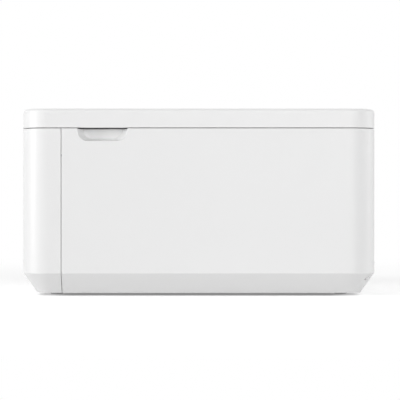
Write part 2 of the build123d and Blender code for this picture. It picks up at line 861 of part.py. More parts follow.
def make_rear_feed_cover():
    """Flap over the rear feed, which stands up as the paper rest, with the rails of its extension."""
    x0 = paper_middle_x - flap_half
    x1 = paper_middle_x + flap_half
    flap = block(x0, x1, flap_front, flap_axis_y, flap_low, body_height)
    tail = block(x0, x1, flap_axis_y - 1, flap_axis_y + flap_tail_radius, flap_low, body_height)
    flap += tail & rod_x(flap_tail_radius, x0, x1, flap_axis_y, flap_axis_z)
    for side in (-1, 1):
        outer = paper_middle_x + side * flap_half
        inner = outer - side * rail_width
        a = min(outer, inner)
        b = max(outer, inner)
        flap += block(
            a, b, flap_axis_y - flap_ear_radius, flap_axis_y + flap_ear_radius, flap_axis_z, flap_low + 1
        )
        flap += rod_x(flap_ear_radius, a, b, flap_axis_y, flap_axis_z)
        tip = paper_middle_x + side * (feed_half + lug_width)
        flap += rod_x(flap_pin_radius, min(inner, tip), max(inner, tip), flap_axis_y, flap_axis_z)
        rail = paper_middle_x + side * (support_half + slide_gap + rail_width / 2)
        rail_low = flap_low - support_thickness - 3 * slide_gap - rail_lip_thickness
        rail_front = flap_axis_y - support_length
        flap += block(
            rail - rail_width / 2, rail + rail_width / 2, rail_front, support_rear_y, rail_low, flap_low + 1
        )
        lip = rail - side * (rail_width / 2 + rail_lip / 2)
        flap += block(
            lip - rail_lip / 2, lip + rail_lip / 2, rail_front, support_rear_y, rail_low,
            rail_low + rail_lip_thickness
        )
    return flap


def make_paper_support():
    """Extension of the paper rest, which slides out of the flap."""
    high = flap_low - slide_gap
    return block(
        paper_middle_x - support_half, paper_middle_x + support_half, flap_axis_y - support_length,
        support_rear_y, high - support_thickness, high
    )


def strip(points, thickness):
    """Return the outline of a bent sheet from the points of its upper side and its thickness."""
    under = []
    for i in range(len(points)):
        before = points[max(i - 1, 0)]
        after = points[min(i + 1, len(points) - 1)]
        angle_in = atan2(points[i][1] - before[1], points[i][0] - before[0]) if i > 0 else None
        angle_out = atan2(after[1] - points[i][1], after[0] - points[i][0]) if i < len(points) - 1 else None
        first = angle_out if angle_in is None else angle_in
        last = angle_in if angle_out is None else angle_out
        middle = (first + last) / 2
        reach = thickness / cos((last - first) / 2)
        under.append((points[i][0] + reach * sin(middle), points[i][1] - reach * cos(middle)))
    return list(points) + under[::-1]


slope_length = sqrt((chute_top_y - chute_bend_y) ** 2 + (chute_top_z - chute_bend_z) ** 2)
up_y = (chute_top_y - chute_bend_y) / slope_length
up_z = (chute_top_z - chute_bend_z) / slope_length
pickup_y = chute_bend_y + pickup_up_slope * up_y - (pickup_radius + slide_gap) * up_z
pickup_z = chute_bend_z + pickup_up_slope * up_z + (pickup_radius + slide_gap) * up_y
chute_half = paper_width / 2 + 2.0
chute_low_rise = 24.0
chute_middle_along = 46.0
chute_middle_rise = 20.0
chute_top_rise = 8.0
chute_side_short = 1.5
chute_foot_depth = 20.0
chute_bend_room = 4.0


def on_slope(along, out):
    """Return the Y and Z of a place on the steep part of the feed chute, by its height up the slope."""
    return (chute_bend_y + along * up_y - out * up_z, chute_bend_z + along * up_z + out * up_y)


def make_feed_chute():
    """Rear feed chute, which leads the paper down to the pickup roller and on to the feed roller."""
    surface = [(chute_end_y, chute_end_z), (chute_bend_y, chute_bend_z), (chute_top_y, chute_top_z)]
    outer = chute_half + chute_side_wall
    chute = slab_x(strip(surface, chute_thickness), paper_middle_x - outer, paper_middle_x + outer)
    side_outline = [
        (chute_end_y, chute_end_z),
        (chute_end_y, chute_end_z + chute_top_rise + chute_thickness),
        on_slope(chute_thickness + chute_bend_room, chute_low_rise),
        on_slope(chute_middle_along, chute_middle_rise),
        on_slope(slope_length - chute_side_short, chute_top_rise),
        on_slope(slope_length - chute_side_short, -chute_thickness),
        on_slope(0, -chute_thickness),
        (chute_bend_y, floor_z),
        (chute_bend_y - chute_foot_depth, floor_z),
        (chute_bend_y - chute_foot_depth, chute_end_z),
    ]
    for side in (-1, 1):
        middle = paper_middle_x + side * (chute_half + chute_side_wall / 2)
        chute += slab_x(side_outline, middle - chute_side_wall / 2, middle + chute_side_wall / 2)
    return chute - rod_x(
        pickup_shaft_radius + fit, paper_middle_x - outer - 1, paper_middle_x + outer + 1, pickup_y, pickup_z
    )


def make_pickup_roller():
    """Pickup roller that pulls the top sheet down the chute, with its shaft."""
    reach = chute_half + 2 * chute_side_wall
    half = pickup_width / 2
    roller = rod_x(pickup_radius, paper_middle_x - half, paper_middle_x + half, pickup_y, pickup_z)
    shaft = rod_x(pickup_shaft_radius, paper_middle_x - reach, paper_middle_x + reach, pickup_y, pickup_z)
    return roller + shaft


guide_length = 54.0
guide_high = slope_length - 13.2
guide_low = guide_high - guide_length
guide_rise = 13.0
guide_foot = 18.0
guide_sheet = 1.6
guide_end_slope = 6.0


def make_paper_guide(side):
    """Edge guide that slides across the chute to the side of the paper."""
    inner = paper_middle_x + side * paper_width / 2
    outer = inner + side * guide_sheet
    foot = inner - side * guide_foot
    upright = slab_x(
        [
            on_slope(guide_low, slide_gap),
            on_slope(guide_low + guide_end_slope, guide_rise),
            on_slope(guide_high - guide_end_slope, guide_rise),
            on_slope(guide_high, slide_gap),
        ],
        min(inner, outer),
        max(inner, outer),
    )
    base = slab_x(
        [
            on_slope(guide_low, slide_gap),
            on_slope(guide_low, slide_gap + guide_sheet),
            on_slope(guide_high, slide_gap + guide_sheet),
            on_slope(guide_high, slide_gap),
        ],
        min(foot, outer),
        max(foot, outer),
    )
    return upright + base


feed_roller_z = paper_z - feed_roller_radius
exit_roller_z = feed_roller_z
pinch_z = paper_z + paper_nip + pinch_radius
star_z = exit_roller_z + exit_roller_radius + paper_nip + star_radius
gear_x = -frame_half_width - frame_sheet - 1.0 - gear_width
pinion_reach = feed_gear_radius + pinion_radius
pinion_y = feed_roller_y + pinion_reach * cos(radians(pinion_angle))
pinion_z = feed_roller_z + pinion_reach * sin(radians(pinion_angle))
arm_places = (-90.0, -30.0, 30.0, 90.0)
arm_width = 4.0
pinch_places = (-60.0, 0.0, 60.0)
pinch_width = 16.0
pinch_shaft_end = 4.0
exit_tyre_half = 7.0
beam_front_y = frame_rear_y - frame_sheet
arm_height = 3.0
arm_root = 4.0
arm_toe = 0.5
pin_root = 1.5
shaft_room = 1.0
rod_overhang = 2.0
shaft_overhang = 1.0
roller_end_gap = 0.5
idler_axle_radius = 2.0


def make_main_frame():
    """Sheet metal frame: two side plates, the beam between them and the arms of the pinch rollers."""
    frame = block(-frame_half_width, frame_half_width, beam_front_y, frame_rear_y, beam_low_z, beam_high_z)
    for side in (-1, 1):
        inner = side * frame_half_width
        outer = side * (frame_half_width + frame_sheet)
        frame += block(
            min(inner, outer), max(inner, outer), frame_front_y, frame_rear_y, floor_z, scanner_floor_z
        )
    for place in arm_places:
        x = paper_middle_x + place
        frame += slab_x(
            [
                (feed_roller_y, pinch_z + arm_height),
                (carriage_rear_y + 1, carriage_low_z - arm_height / 2),
                (beam_front_y, beam_low_z + arm_root),
                (frame_rear_y, beam_low_z + arm_root),
                (frame_rear_y, beam_low_z),
                (beam_front_y, beam_low_z - arm_root / 2),
                (carriage_rear_y, pinch_z + arm_toe),
                (feed_roller_y, pinch_z - arm_height),
            ],
            x - arm_width / 2,
            x + arm_width / 2,
        )
        frame += rod_x(arm_height, x - arm_width / 2, x + arm_width / 2, feed_roller_y, pinch_z)
        frame -= rod_x(pinch_shaft_radius + fit, x - arm_width, x + arm_width, feed_roller_y, pinch_z)
    pin_right = -frame_half_width - frame_sheet / 2
    frame += rod_x(idler_pin_radius, gear_x - pin_root, pin_right, idler_y, feed_roller_z)
    axle_front = carriage_belt_y - pulley_half - 1
    frame += rod_y(idler_axle_radius, carriage_pulley_x, axle_front, beam_front_y + 1, carriage_belt_z)
    reach = frame_half_width + frame_sheet + shaft_room
    frame -= rod_x(carriage_rod_radius + fit, -reach, reach, carriage_rod_y, carriage_rod_z)
    frame -= rod_x(shaft_end_radius + fit, -reach, reach, feed_roller_y, feed_roller_z)
    frame -= rod_x(exit_shaft_radius + fit, -reach, reach, exit_roller_y, exit_roller_z)
    frame -= rod_x(motor_shaft_radius + shaft_room, -reach, -frame_half_width + 1, pinion_y, pinion_z)
    return frame - rod_y(
        motor_shaft_radius + shaft_room, -carriage_pulley_x, beam_front_y - 1, frame_rear_y + 1,
        carriage_belt_z
    )


def make_carriage_guide_rod():
    """Ground rod that the carriage slides along."""
    reach = frame_half_width + frame_sheet + rod_overhang
    return rod_x(carriage_rod_radius, -reach, reach, carriage_rod_y, carriage_rod_z)


cartridge_low_z = carriage_low_z + 2.0
cartridge_front_y = carriage_front_y + 4.0
cartridge_rear_y = carriage_rod_y - carriage_rod_radius - 6.0
cartridge_high_z = carriage_high_z - 8.0
black_width = 32.0
colour_width = 38.0
cartridge_gap = 6.0
cartridge_chamfer = 3.0
grip_depth = 8.0
grip_rise = 4.0
nozzle_inset = 7.0


def cartridge_span(colour):
    """Return the two ends in X of a cartridge in the parked carriage."""
    left = carriage_park_x - (black_width + colour_width + cartridge_gap) / 2
    if colour:
        return (left + black_width + cartridge_gap, left + black_width + cartridge_gap + colour_width)
    return (left, left + black_width)


def make_cartridge(colour):
    """Ink cartridge with its nozzle block underneath."""
    x0, x1 = cartridge_span(colour)
    tank = block(x0, x1, cartridge_front_y, cartridge_rear_y, cartridge_low_z, cartridge_high_z)
    tank = chamfer(tank.edges().filter_by(Axis.X).group_by(Axis.Z)[-1], cartridge_chamfer)
    grip = block(
        x0 + nozzle_inset, x1 - nozzle_inset, cartridge_front_y, cartridge_front_y + grip_depth,
        cartridge_high_z - cartridge_chamfer, cartridge_high_z + grip_rise
    )
    nozzle = block(
        x0 + nozzle_inset, x1 - nozzle_inset, cartridge_front_y + nozzle_inset,
        cartridge_rear_y - nozzle_inset, nozzle_z, cartridge_low_z
    )
    return tank + grip + nozzle


encoder_y = carriage_rear_y + 1.2
encoder_high_z = carriage_high_z - 8.0
encoder_height = 8.0
encoder_thickness = 0.5
belt_grip_x = carriage_park_x + 5.0
belt_grip_half = 8.0
belt_grip_cover = 1.5
fork_x = carriage_park_x - 20.0
fork_half = 6.0
fork_prong = 2.0
fork_bridge = 4.0
fork_room = 1.0
carriage_corner = 3.0


def make_carriage():
    """Carriage that carries the cartridges, with its bearing, its grip on the belt and its sensor fork."""
    half = carriage_width / 2
    x0 = carriage_park_x - half
    x1 = carriage_park_x + half
    carriage = block(x0, x1, carriage_front_y, carriage_rear_y, carriage_low_z, carriage_high_z)
    carriage = fillet(carriage.edges().filter_by(Axis.Z), carriage_corner)
    for colour in (False, True):
        a, b = cartridge_span(colour)
        carriage -= block(
            a - slide_gap, b + slide_gap, cartridge_front_y - slide_gap, cartridge_rear_y + slide_gap,
            cartridge_low_z, carriage_high_z + 1
        )
        carriage -= block(
            a + nozzle_inset - slide_gap, b - nozzle_inset + slide_gap,
            cartridge_front_y + nozzle_inset - slide_gap, cartridge_rear_y - nozzle_inset + slide_gap,
            carriage_low_z - 1, cartridge_low_z + 1
        )
    carriage -= rod_x(carriage_rod_radius + fit, x0 - 1, x1 + 1, carriage_rod_y, carriage_rod_z)
    run_z = carriage_belt_z + carriage_pulley_radius + slide_gap + belt_thickness / 2
    belt_low_y = carriage_belt_y - belt_width / 2 - slide_gap
    belt_high_y = carriage_belt_y + belt_width / 2 + slide_gap
    slot_half = belt_thickness / 2 + slide_gap
    grip_rise = slot_half + belt_grip_cover
    carriage += block(
        belt_grip_x - belt_grip_half, belt_grip_x + belt_grip_half, carriage_rear_y - 1,
        belt_high_y + belt_grip_cover, run_z - grip_rise, run_z + grip_rise
    )
    carriage -= block(
        belt_grip_x - belt_grip_half - 1, belt_grip_x + belt_grip_half + 1, belt_low_y, belt_high_y,
        run_z - slot_half, run_z + slot_half
    )
    bridge_low = encoder_high_z + fork_room
    prong_y = encoder_y + encoder_thickness + 3 * slide_gap
    carriage += block(
        fork_x - fork_half, fork_x + fork_half, carriage_rear_y - 1, prong_y + fork_prong, bridge_low,
        bridge_low + fork_bridge
    )
    return carriage + block(
        fork_x - fork_half, fork_x + fork_half, prong_y, prong_y + fork_prong,
        encoder_high_z - encoder_height - fork_room, bridge_low + fork_bridge
    )


def make_encoder_strip():
    """Clear strip that the carriage reads its place from."""
    return block(
        -frame_half_width, frame_half_width, encoder_y, encoder_y + encoder_thickness,
        encoder_high_z - encoder_height, encoder_high_z
    )


def belt_place(y, z):
    """Return the place of a pulley or belt that turns about Y."""
    return Pos(0, y, z) * Rot(-90, 0, 0)


def make_carriage_belt():
    """Belt that pulls the carriage."""
    loop = belt_loop(2 * carriage_pulley_x, carriage_pulley_radius)
    return belt_place(carriage_belt_y, carriage_belt_z) * loop


def make_scan_belt():
    """Belt that pulls the scan bar."""
    return Pos(0, scan_belt_y, scan_belt_z) * belt_loop(2 * scan_pulley_x, scan_pulley_radius)


main_motor_radius = 14.0
carriage_motor_length = 26.0
feed_motor_length = 24.0


def make_carriage_drive_pulley():
    """Drive pulley of the carriage, on the shaft of its motor."""
    wheel = pulley(carriage_pulley_radius, 0)
    wheel += rod_z(motor_shaft_radius, 0, 0, 0, frame_rear_y + motor_shaft_reach - carriage_belt_y)
    return Pos(-carriage_pulley_x, 0, 0) * belt_place(carriage_belt_y, carriage_belt_z) * wheel


def make_carriage_idler_pulley():
    """Idler pulley of the carriage belt, on the pin of the main frame."""
    wheel = pulley(carriage_pulley_radius, idler_axle_radius + fit)
    return Pos(carriage_pulley_x, 0, 0) * belt_place(carriage_belt_y, carriage_belt_z) * wheel


def make_carriage_motor():
    """Carriage motor behind the beam."""
    rear = frame_rear_y + carriage_motor_length
    motor = rod_y(main_motor_radius, -carriage_pulley_x, frame_rear_y, rear, carriage_belt_z)
    bore_rear = frame_rear_y + motor_bore_depth
    bore_radius = motor_shaft_radius + fit
    return motor - rod_y(bore_radius, -carriage_pulley_x, frame_rear_y, bore_rear, carriage_belt_z)


platen_right = carriage_park_x - carriage_width / 2 - 5.0
platen_front = exit_roller_y + exit_roller_radius + 0.8
platen_rear = feed_roller_y - feed_roller_radius - 0.8
platen_top = paper_z - 2.0
platen_thickness = 10.0
rib_pitch = 20.0
rib_end_gap = 12.0
rib_width = 1.6
rib_setback = 3.0
rib_last_gap = 3.6
paper_gap = 0.4
platen_leg_half = 4.0
platen_leg_depth = 8.0


def make_platen():
    """Ribbed platen that holds the paper flat under the nozzles."""
    left = -frame_half_width
    platen = block(left, platen_right, platen_front, platen_rear, platen_top - platen_thickness, platen_top)
    rib_count = int((platen_right - left - rib_end_gap - rib_last_gap) / rib_pitch) + 1
    for i in range(rib_count):
        x = left + rib_end_gap + i * rib_pitch
        platen += block(
            x - rib_width / 2, x + rib_width / 2, platen_front + rib_setback, platen_rear - rib_setback,
            platen_top - 1, paper_z - paper_gap
        )
    leg_top = platen_top - platen_thickness + 1
    middle_y = (platen_front + platen_rear) / 2
    for x in (left + rib_pitch, platen_right - rib_end_gap):
        platen += centred(x, platen_leg_half, middle_y, platen_leg_depth, floor_z, leg_top)
    return platen


def make_feed_roller():
    """Long feed roller in front of the nozzles' rear edge, with a thinner journal at each end."""
    roller = rod_x(
        feed_roller_radius, -frame_half_width + roller_end_gap, frame_half_width - roller_end_gap,
        feed_roller_y, feed_roller_z
    )
    return roller + rod_x(
        shaft_end_radius, gear_x - shaft_overhang, frame_half_width + 2 * frame_sheet, feed_roller_y,
        feed_roller_z
    )


def make_exit_roller():
    """Exit shaft with its rubber rollers."""
    shaft = rod_x(
        exit_shaft_radius, gear_x - shaft_overhang, frame_half_width + 2 * frame_sheet, exit_roller_y,
        exit_roller_z
    )
    for place in arm_places:
        x = paper_middle_x + place
        shaft += rod_x(
            exit_roller_radius, x - exit_tyre_half, x + exit_tyre_half, exit_roller_y, exit_roller_z
        )
    return shaft


def make_pinch_rollers():
    """Pinch rollers on their shaft, over the feed roller."""
    reach = arm_places[-1] + pinch_shaft_end
    shaft = rod_x(
        pinch_shaft_radius, paper_middle_x - reach, paper_middle_x + reach, feed_roller_y, pinch_z
    )
    for place in pinch_places:
        x = paper_middle_x + place
        shaft += rod_x(pinch_radius, x - pinch_width / 2, x + pinch_width / 2, feed_roller_y, pinch_z)
    return shaft


star_shaft_radius = 1.0
star_half_width = 0.6
star_hub_half = 2.5
star_hub_radius = 1.8
star_tooth_depth = 1.2
star_teeth = 12
star_bar_half = 4.2
star_bar_thickness = 3.0
star_lug_half = 1.0
star_lug_x = 4.0


def make_star_wheel_bar():
    """Bar across the outlet that carries the star wheels."""
    high = carriage_low_z + star_bar_thickness
    front = exit_roller_y - star_bar_half
    rear = exit_roller_y + star_bar_half
    bar = block(-frame_half_width, frame_half_width, front, rear, carriage_low_z, high)
    for place in arm_places:
        for side in (-1, 1):
            middle = paper_middle_x + place + side * star_lug_x
            lug_low = star_z - 2 * star_shaft_radius
            bar += centred(middle, star_lug_half, exit_roller_y, star_bar_half / 2, lug_low, high - 1)
            reach = star_lug_half + 1
            bar -= rod_x(star_shaft_radius + fit, middle - reach, middle + reach, exit_roller_y, star_z)
    return bar


def make_star_wheels():
    """Toothed star wheels that hold the wet sheet down, on their shaft."""
    reach = star_lug_x + 2 * star_lug_half
    left = paper_middle_x + arm_places[0] - reach
    right = paper_middle_x + arm_places[-1] + reach
    shaft = rod_x(star_shaft_radius, left, right, exit_roller_y, star_z)
    ring = []
    for i in range(2 * star_teeth):
        r = star_radius if i % 2 == 0 else star_radius - star_tooth_depth
        ring.append((exit_roller_y + r * cos(pi * i / star_teeth), star_z + r * sin(pi * i / star_teeth)))
    for place in arm_places:
        x = paper_middle_x + place
        shaft += slab_x(ring, x - star_half_width, x + star_half_width)
        shaft += rod_x(star_hub_radius, x - star_hub_half, x + star_hub_half, exit_roller_y, star_z)
    return shaft


pressure_angle = radians(20.0)
flank_steps = 4
addendum = 0.95
dedendum = 1.25
flank_start = 0.02


def gear_outline(teeth):
    """Return the outline of a spur gear with involute flanks, with one tooth on the local X axis."""
    pitch_radius = gear_module * teeth / 2
    base_radius = pitch_radius * cos(pressure_angle)
    tip_radius = pitch_radius + addendum * gear_module
    root_radius = pitch_radius - dedendum * gear_module
    start = max(base_radius, root_radius + flank_start)
    half_tooth = pi / (2 * teeth) - gear_backlash / (2 * pitch_radius) + tan(pressure_angle) - pressure_angle
    flank = []
    for step in range(flank_steps + 1):
        r = start + (tip_radius - start) * step / flank_steps
        roll = acos(min(1.0, base_radius / r))
        flank.append((r, half_tooth - tan(roll) + roll))
    flank.insert(0, (root_radius, flank[0][1]))
    points = []
    for tooth in range(teeth):
        middle = 2 * pi * tooth / teeth
        points += [(r * cos(middle - half), r * sin(middle - half)) for r, half in flank]
        points += [(r * cos(middle + half), r * sin(middle + half)) for r, half in reversed(flank)]
    return make_face(Polyline(*points, close=True))


def mesh_phase(phase, teeth, other_teeth, direction):
    """Return the turn of a second gear, in degrees, that meshes with a first gear in a direction."""
    return direction + 180.0 - (phase - direction) * teeth / other_teeth + 180.0 / other_teeth


def gear(teeth, phase, y, z, bore):
    """Return a spur gear about X, turned by phase degrees, with its bore."""
    face = Plane.YZ * (Rot(0, 0, phase) * gear_outline(teeth))
    wheel = Pos(gear_x, y, z) * extrude(face, gear_width)
    return wheel - rod_x(bore, gear_x - 1, gear_x + gear_width + 1, y, z) if bore else wheel


idler_phase = mesh_phase(0.0, feed_teeth, idler_teeth, 180.0)
exit_phase = mesh_phase(idler_phase, idler_teeth, exit_teeth, 180.0)
pinion_phase = mesh_phase(0.0, feed_teeth, pinion_teeth, pinion_angle)


def make_motor_pinion():
    """Pinion of the feed motor, with its shaft."""
    pinion = gear(pinion_teeth, pinion_phase, pinion_y, pinion_z, 0)
    return pinion + rod_x(
        motor_shaft_radius, gear_x, -frame_half_width + motor_shaft_reach, pinion_y, pinion_z
    )


def make_feed_motor():
    """Feed motor inside the left side plate."""
    left = -frame_half_width
    motor = rod_x(main_motor_radius, left, left + feed_motor_length, pinion_y, pinion_z)
    return motor - rod_x(motor_shaft_radius + fit, left, left + motor_bore_depth, pinion_y, pinion_z)


station_left = platen_right + 5.0
station_right = frame_half_width - 8.0
station_top = paper_z - 14.0
station_wall = 2.0
station_rear = platen_rear - station_wall
station_floor = 8.0
cap_depth = 6.0
wiper_thickness = 1.4
pad_height = 16.0


def make_maintenance_station():
    """Maintenance station under the parked carriage, with its caps and its wiper."""
    station = block(station_left, station_right, platen_front, station_rear, floor_z, station_top)
    station -= block(
        station_left + station_wall, station_right - station_wall, platen_front + station_wall,
        station_rear - station_wall, floor_z + station_floor, station_top - station_wall
    )
    cap_front = cartridge_front_y + nozzle_inset
    cap_rear = cartridge_rear_y - nozzle_inset
    for colour in (False, True):
        a, b = cartridge_span(colour)
        left = a + nozzle_inset
        right = b - nozzle_inset
        cap = block(left, right, cap_front, cap_rear, station_top - 1, paper_z - paper_gap)
        cup = block(
            left + station_wall, right - station_wall, cap_front + station_wall, cap_rear - station_wall,
            paper_z - cap_depth, paper_z
        )
        station += cap - cup
    return station + block(
        station_left, station_left + wiper_thickness, cap_front, cap_rear, station_top - 1,
        nozzle_z - paper_gap
    )


def make_waste_ink_pad():
    """Felt pad in the base tray that soaks up waste ink."""
    return block(station_left, station_right, platen_rear, beam_front_y, floor_z, floor_z + pad_height)


output_half = cover_ear_x - 6.0
output_rear_y = frame_front_y + 5.0
output_rear_z = exit_roller_z - exit_roller_radius - 3.0
output_front_z = 36.0
output_sheet = 2.0
output_side_rise = 8.0


def make_output_chute():
    """Sloping chute in front of the exit roller, with its front apron and its side walls."""
    front = base_front + tower_depth + slide_gap
    chute = slab_x(
        [
            (front, floor_z),
            (front, output_front_z),
            (output_rear_y, output_rear_z),
            (output_rear_y, output_rear_z - output_sheet),
            (front + output_sheet, output_front_z - output_sheet),
            (front + output_sheet, floor_z),
        ],
        -output_half,
        output_half,
    )
    for side in (-1, 1):
        middle = side * (output_half - output_sheet / 2)
        chute += slab_x(
            [
                (front, floor_z),
                (front, output_front_z + output_side_rise),
                (output_rear_y, output_rear_z + output_side_rise),
                (output_rear_y, floor_z),
            ],
            middle - output_sheet / 2,
            middle + output_sheet / 2,
        )
    return chute


board_thickness = 1.6
board_y = base_rear - rim_thickness - 0.2 - board_thickness
board_left = usb_x - 28.0
board_right = usb_x + 32.0
board_high = floor_z + 90.5
solder_root = 0.4
header_first = 10.0
header_drop = 8.5
header_count = 4
header_pitch = 13.0
header_width = 9.0
header_height = 7.0
header_reach = 7.0
socket_rear = half_depth - 1.0
socket_wall = 2.0
socket_depth = 9.0
socket_tongue_width = 5.6
socket_tongue_thickness = 3.0
socket_tongue_reach = 4.0
tongue_root = 0.5

# Processor, memory and capacitor: right of and above the USB socket, side length, and how far each stands out
chips = ((0.0, 30.0, 20.0, 2.0), (-15.0, 6.0, 12.0, 1.6), (20.0, 8.0, 10.0, 5.0))


def board_part(x, z, width, height, reach):
    """Return a component that stands out of the front of the main board."""
    half = width / 2
    return block(x - half, x + half, board_y - reach, board_y + solder_root, z - height / 2, z + height / 2)


def make_main_board():
    """Main circuit board, standing behind the left of the paper feed, with its chips and its USB socket."""
    board = block(board_left, board_right, board_y, board_y + board_thickness, floor_z, board_high)
    for right, up, size, reach in chips:
        board += board_part(usb_x + right, usb_z + up, size, size, reach)
    for i in range(header_count):
        x = board_left + header_first + i * header_pitch
        board += board_part(x, board_high - header_drop, header_width, header_height, header_reach)
    shell = block(
        usb_x - usb_width / 2, usb_x + usb_width / 2, board_y + 1, socket_rear, usb_z - usb_height / 2,
        usb_z + usb_height / 2
    )
    throat = block(
        usb_x - usb_width / 2 + socket_wall, usb_x + usb_width / 2 - socket_wall, socket_rear - socket_depth,
        socket_rear + 1, usb_z - usb_height / 2 + socket_wall, usb_z + usb_height / 2 - socket_wall
    )
    tongue_half = socket_tongue_width / 2
    tongue = block(
        usb_x - tongue_half, usb_x + tongue_half, socket_rear - socket_depth - tongue_root,
        socket_rear - socket_depth + socket_tongue_reach - tongue_root, usb_z - socket_tongue_thickness / 2,
        usb_z + socket_tongue_thickness / 2
    )
    return board + shell - throat + tongue


supply_left = paper_middle_x + chute_half + chute_side_wall + 2.0
supply_right = base_half - 12.4
supply_front = frame_rear_y + 8.0
supply_rear = base_rear - rim_thickness - 0.3
supply_high = floor_z + 58.5
supply_chamfer = 2.0
inlet_pocket_width = 18.0
inlet_pocket_height = 9.0
inlet_pocket_depth = 13.0
inlet_pin_radius = 1.2
inlet_pin_pitch = 8.4
inlet_pin_setback = 3.0


def make_power_supply():
    """Power supply in its housing."""
    supply = block(supply_left, supply_right, supply_front, supply_rear, floor_z, supply_high)
    return chamfer(supply.edges().group_by(Axis.Z)[-1], supply_chamfer)


def make_power_inlet():
    """Two-pin power inlet on the rear of the power supply."""
    inlet = block(
        inlet_x - inlet_width / 2, inlet_x + inlet_width / 2, supply_rear, socket_rear,
        inlet_z - inlet_height / 2, inlet_z + inlet_height / 2
    )
    floor_y = socket_rear - inlet_pocket_depth
    half_x = inlet_pocket_width / 2
    half_z = inlet_pocket_height / 2
    inlet -= block(
        inlet_x - half_x, inlet_x + half_x, floor_y, socket_rear + 1, inlet_z - half_z, inlet_z + half_z
    )
    for side in (-1, 1):
        x = inlet_x + side * inlet_pin_pitch / 2
        inlet += rod_y(inlet_pin_radius, x, floor_y - 1, socket_rear - inlet_pin_setback, inlet_z)
    return inlet


def build_scanner():
    """Write the scanner."""
    save("scanner_frame", make_scanner_frame())
    save("scanner_glass", make_scanner_glass())
    save("scanner_tray", make_scanner_tray())
    save("scan_bar", make_scan_bar())
    save("scan_guide_rod", rod_x(scan_rod_radius, -rod_block_x, rod_block_x, scan_rod_y, scan_rod_z))
    save("scan_motor", make_scan_motor())
    save("scan_belt", make_scan_belt())
    save("scan_drive_pulley", make_scan_drive_pulley())
    save("scan_idler_pulley", make_scan_idler_pulley())


def build_rear_feed():
    """Write the rear top housing, its controls and the rear paper feed."""
    save("rear_top_housing", make_rear_top_housing())
    save("control_panel", make_control_panel())
    for place, name in ((-1, "power_button"), (0, "cancel_button"), (1, "copy_button")):
        save(name, make_button(place))
    save("rear_feed_cover", make_rear_feed_cover())
    save("paper_support", make_paper_support())
    save("feed_chute", make_feed_chute())
    save("paper_guide_left", make_paper_guide(-1))
    save("paper_guide_right", make_paper_guide(1))
    save("pickup_roller", make_pickup_roller())


def build_print_mechanism():
    """Write the frame, the carriage, the rollers, the gears and what lies under them."""
    save("main_frame", make_main_frame())
    save("carriage_guide_rod", make_carriage_guide_rod())
    save("carriage", make_carriage())
    save("black_cartridge", make_cartridge(False))
    save("colour_cartridge", make_cartridge(True))
    save("encoder_strip", make_encoder_strip())
    save("carriage_belt", make_carriage_belt())
    save("carriage_motor", make_carriage_motor())
    save("carriage_drive_pulley", make_carriage_drive_pulley())
    save("carriage_idler_pulley", make_carriage_idler_pulley())
    save("platen", make_platen())
    save("feed_roller", make_feed_roller())
    save("feed_gear", gear(feed_teeth, 0.0, feed_roller_y, feed_roller_z, shaft_end_radius))
    save("exit_roller", make_exit_roller())
    save("exit_gear", gear(exit_teeth, exit_phase, exit_roller_y, exit_roller_z, exit_shaft_radius))
    save("idler_gear", gear(idler_teeth, idler_phase, idler_y, feed_roller_z, idler_pin_radius + fit))
    save("motor_pinion", make_motor_pinion())
    save("feed_motor", make_feed_motor())
    save("pinch_rollers", make_pinch_rollers())
    save("star_wheel_bar", make_star_wheel_bar())
    save("star_wheels", make_star_wheels())
    save("maintenance_station", make_maintenance_station())
    save("waste_ink_pad", make_waste_ink_pad())
    save("output_chute", make_output_chute())


def build_electrics():
    """Write the board, the power supply and its inlet."""
    save("main_board", make_main_board())
    save("power_supply", make_power_supply())
    save("power_inlet", make_power_inlet())


build_casing()
build_scanner()
build_rear_feed()
build_print_mechanism()
build_electrics()
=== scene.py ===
"""A white all-in-one inkjet printer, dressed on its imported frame. All sizes are in metres."""

import json
import logging
import math
from collections.abc import Callable, Iterable
from dataclasses import dataclass
from enum import Enum

import bmesh
import bpy
from mathutils import Matrix, Vector

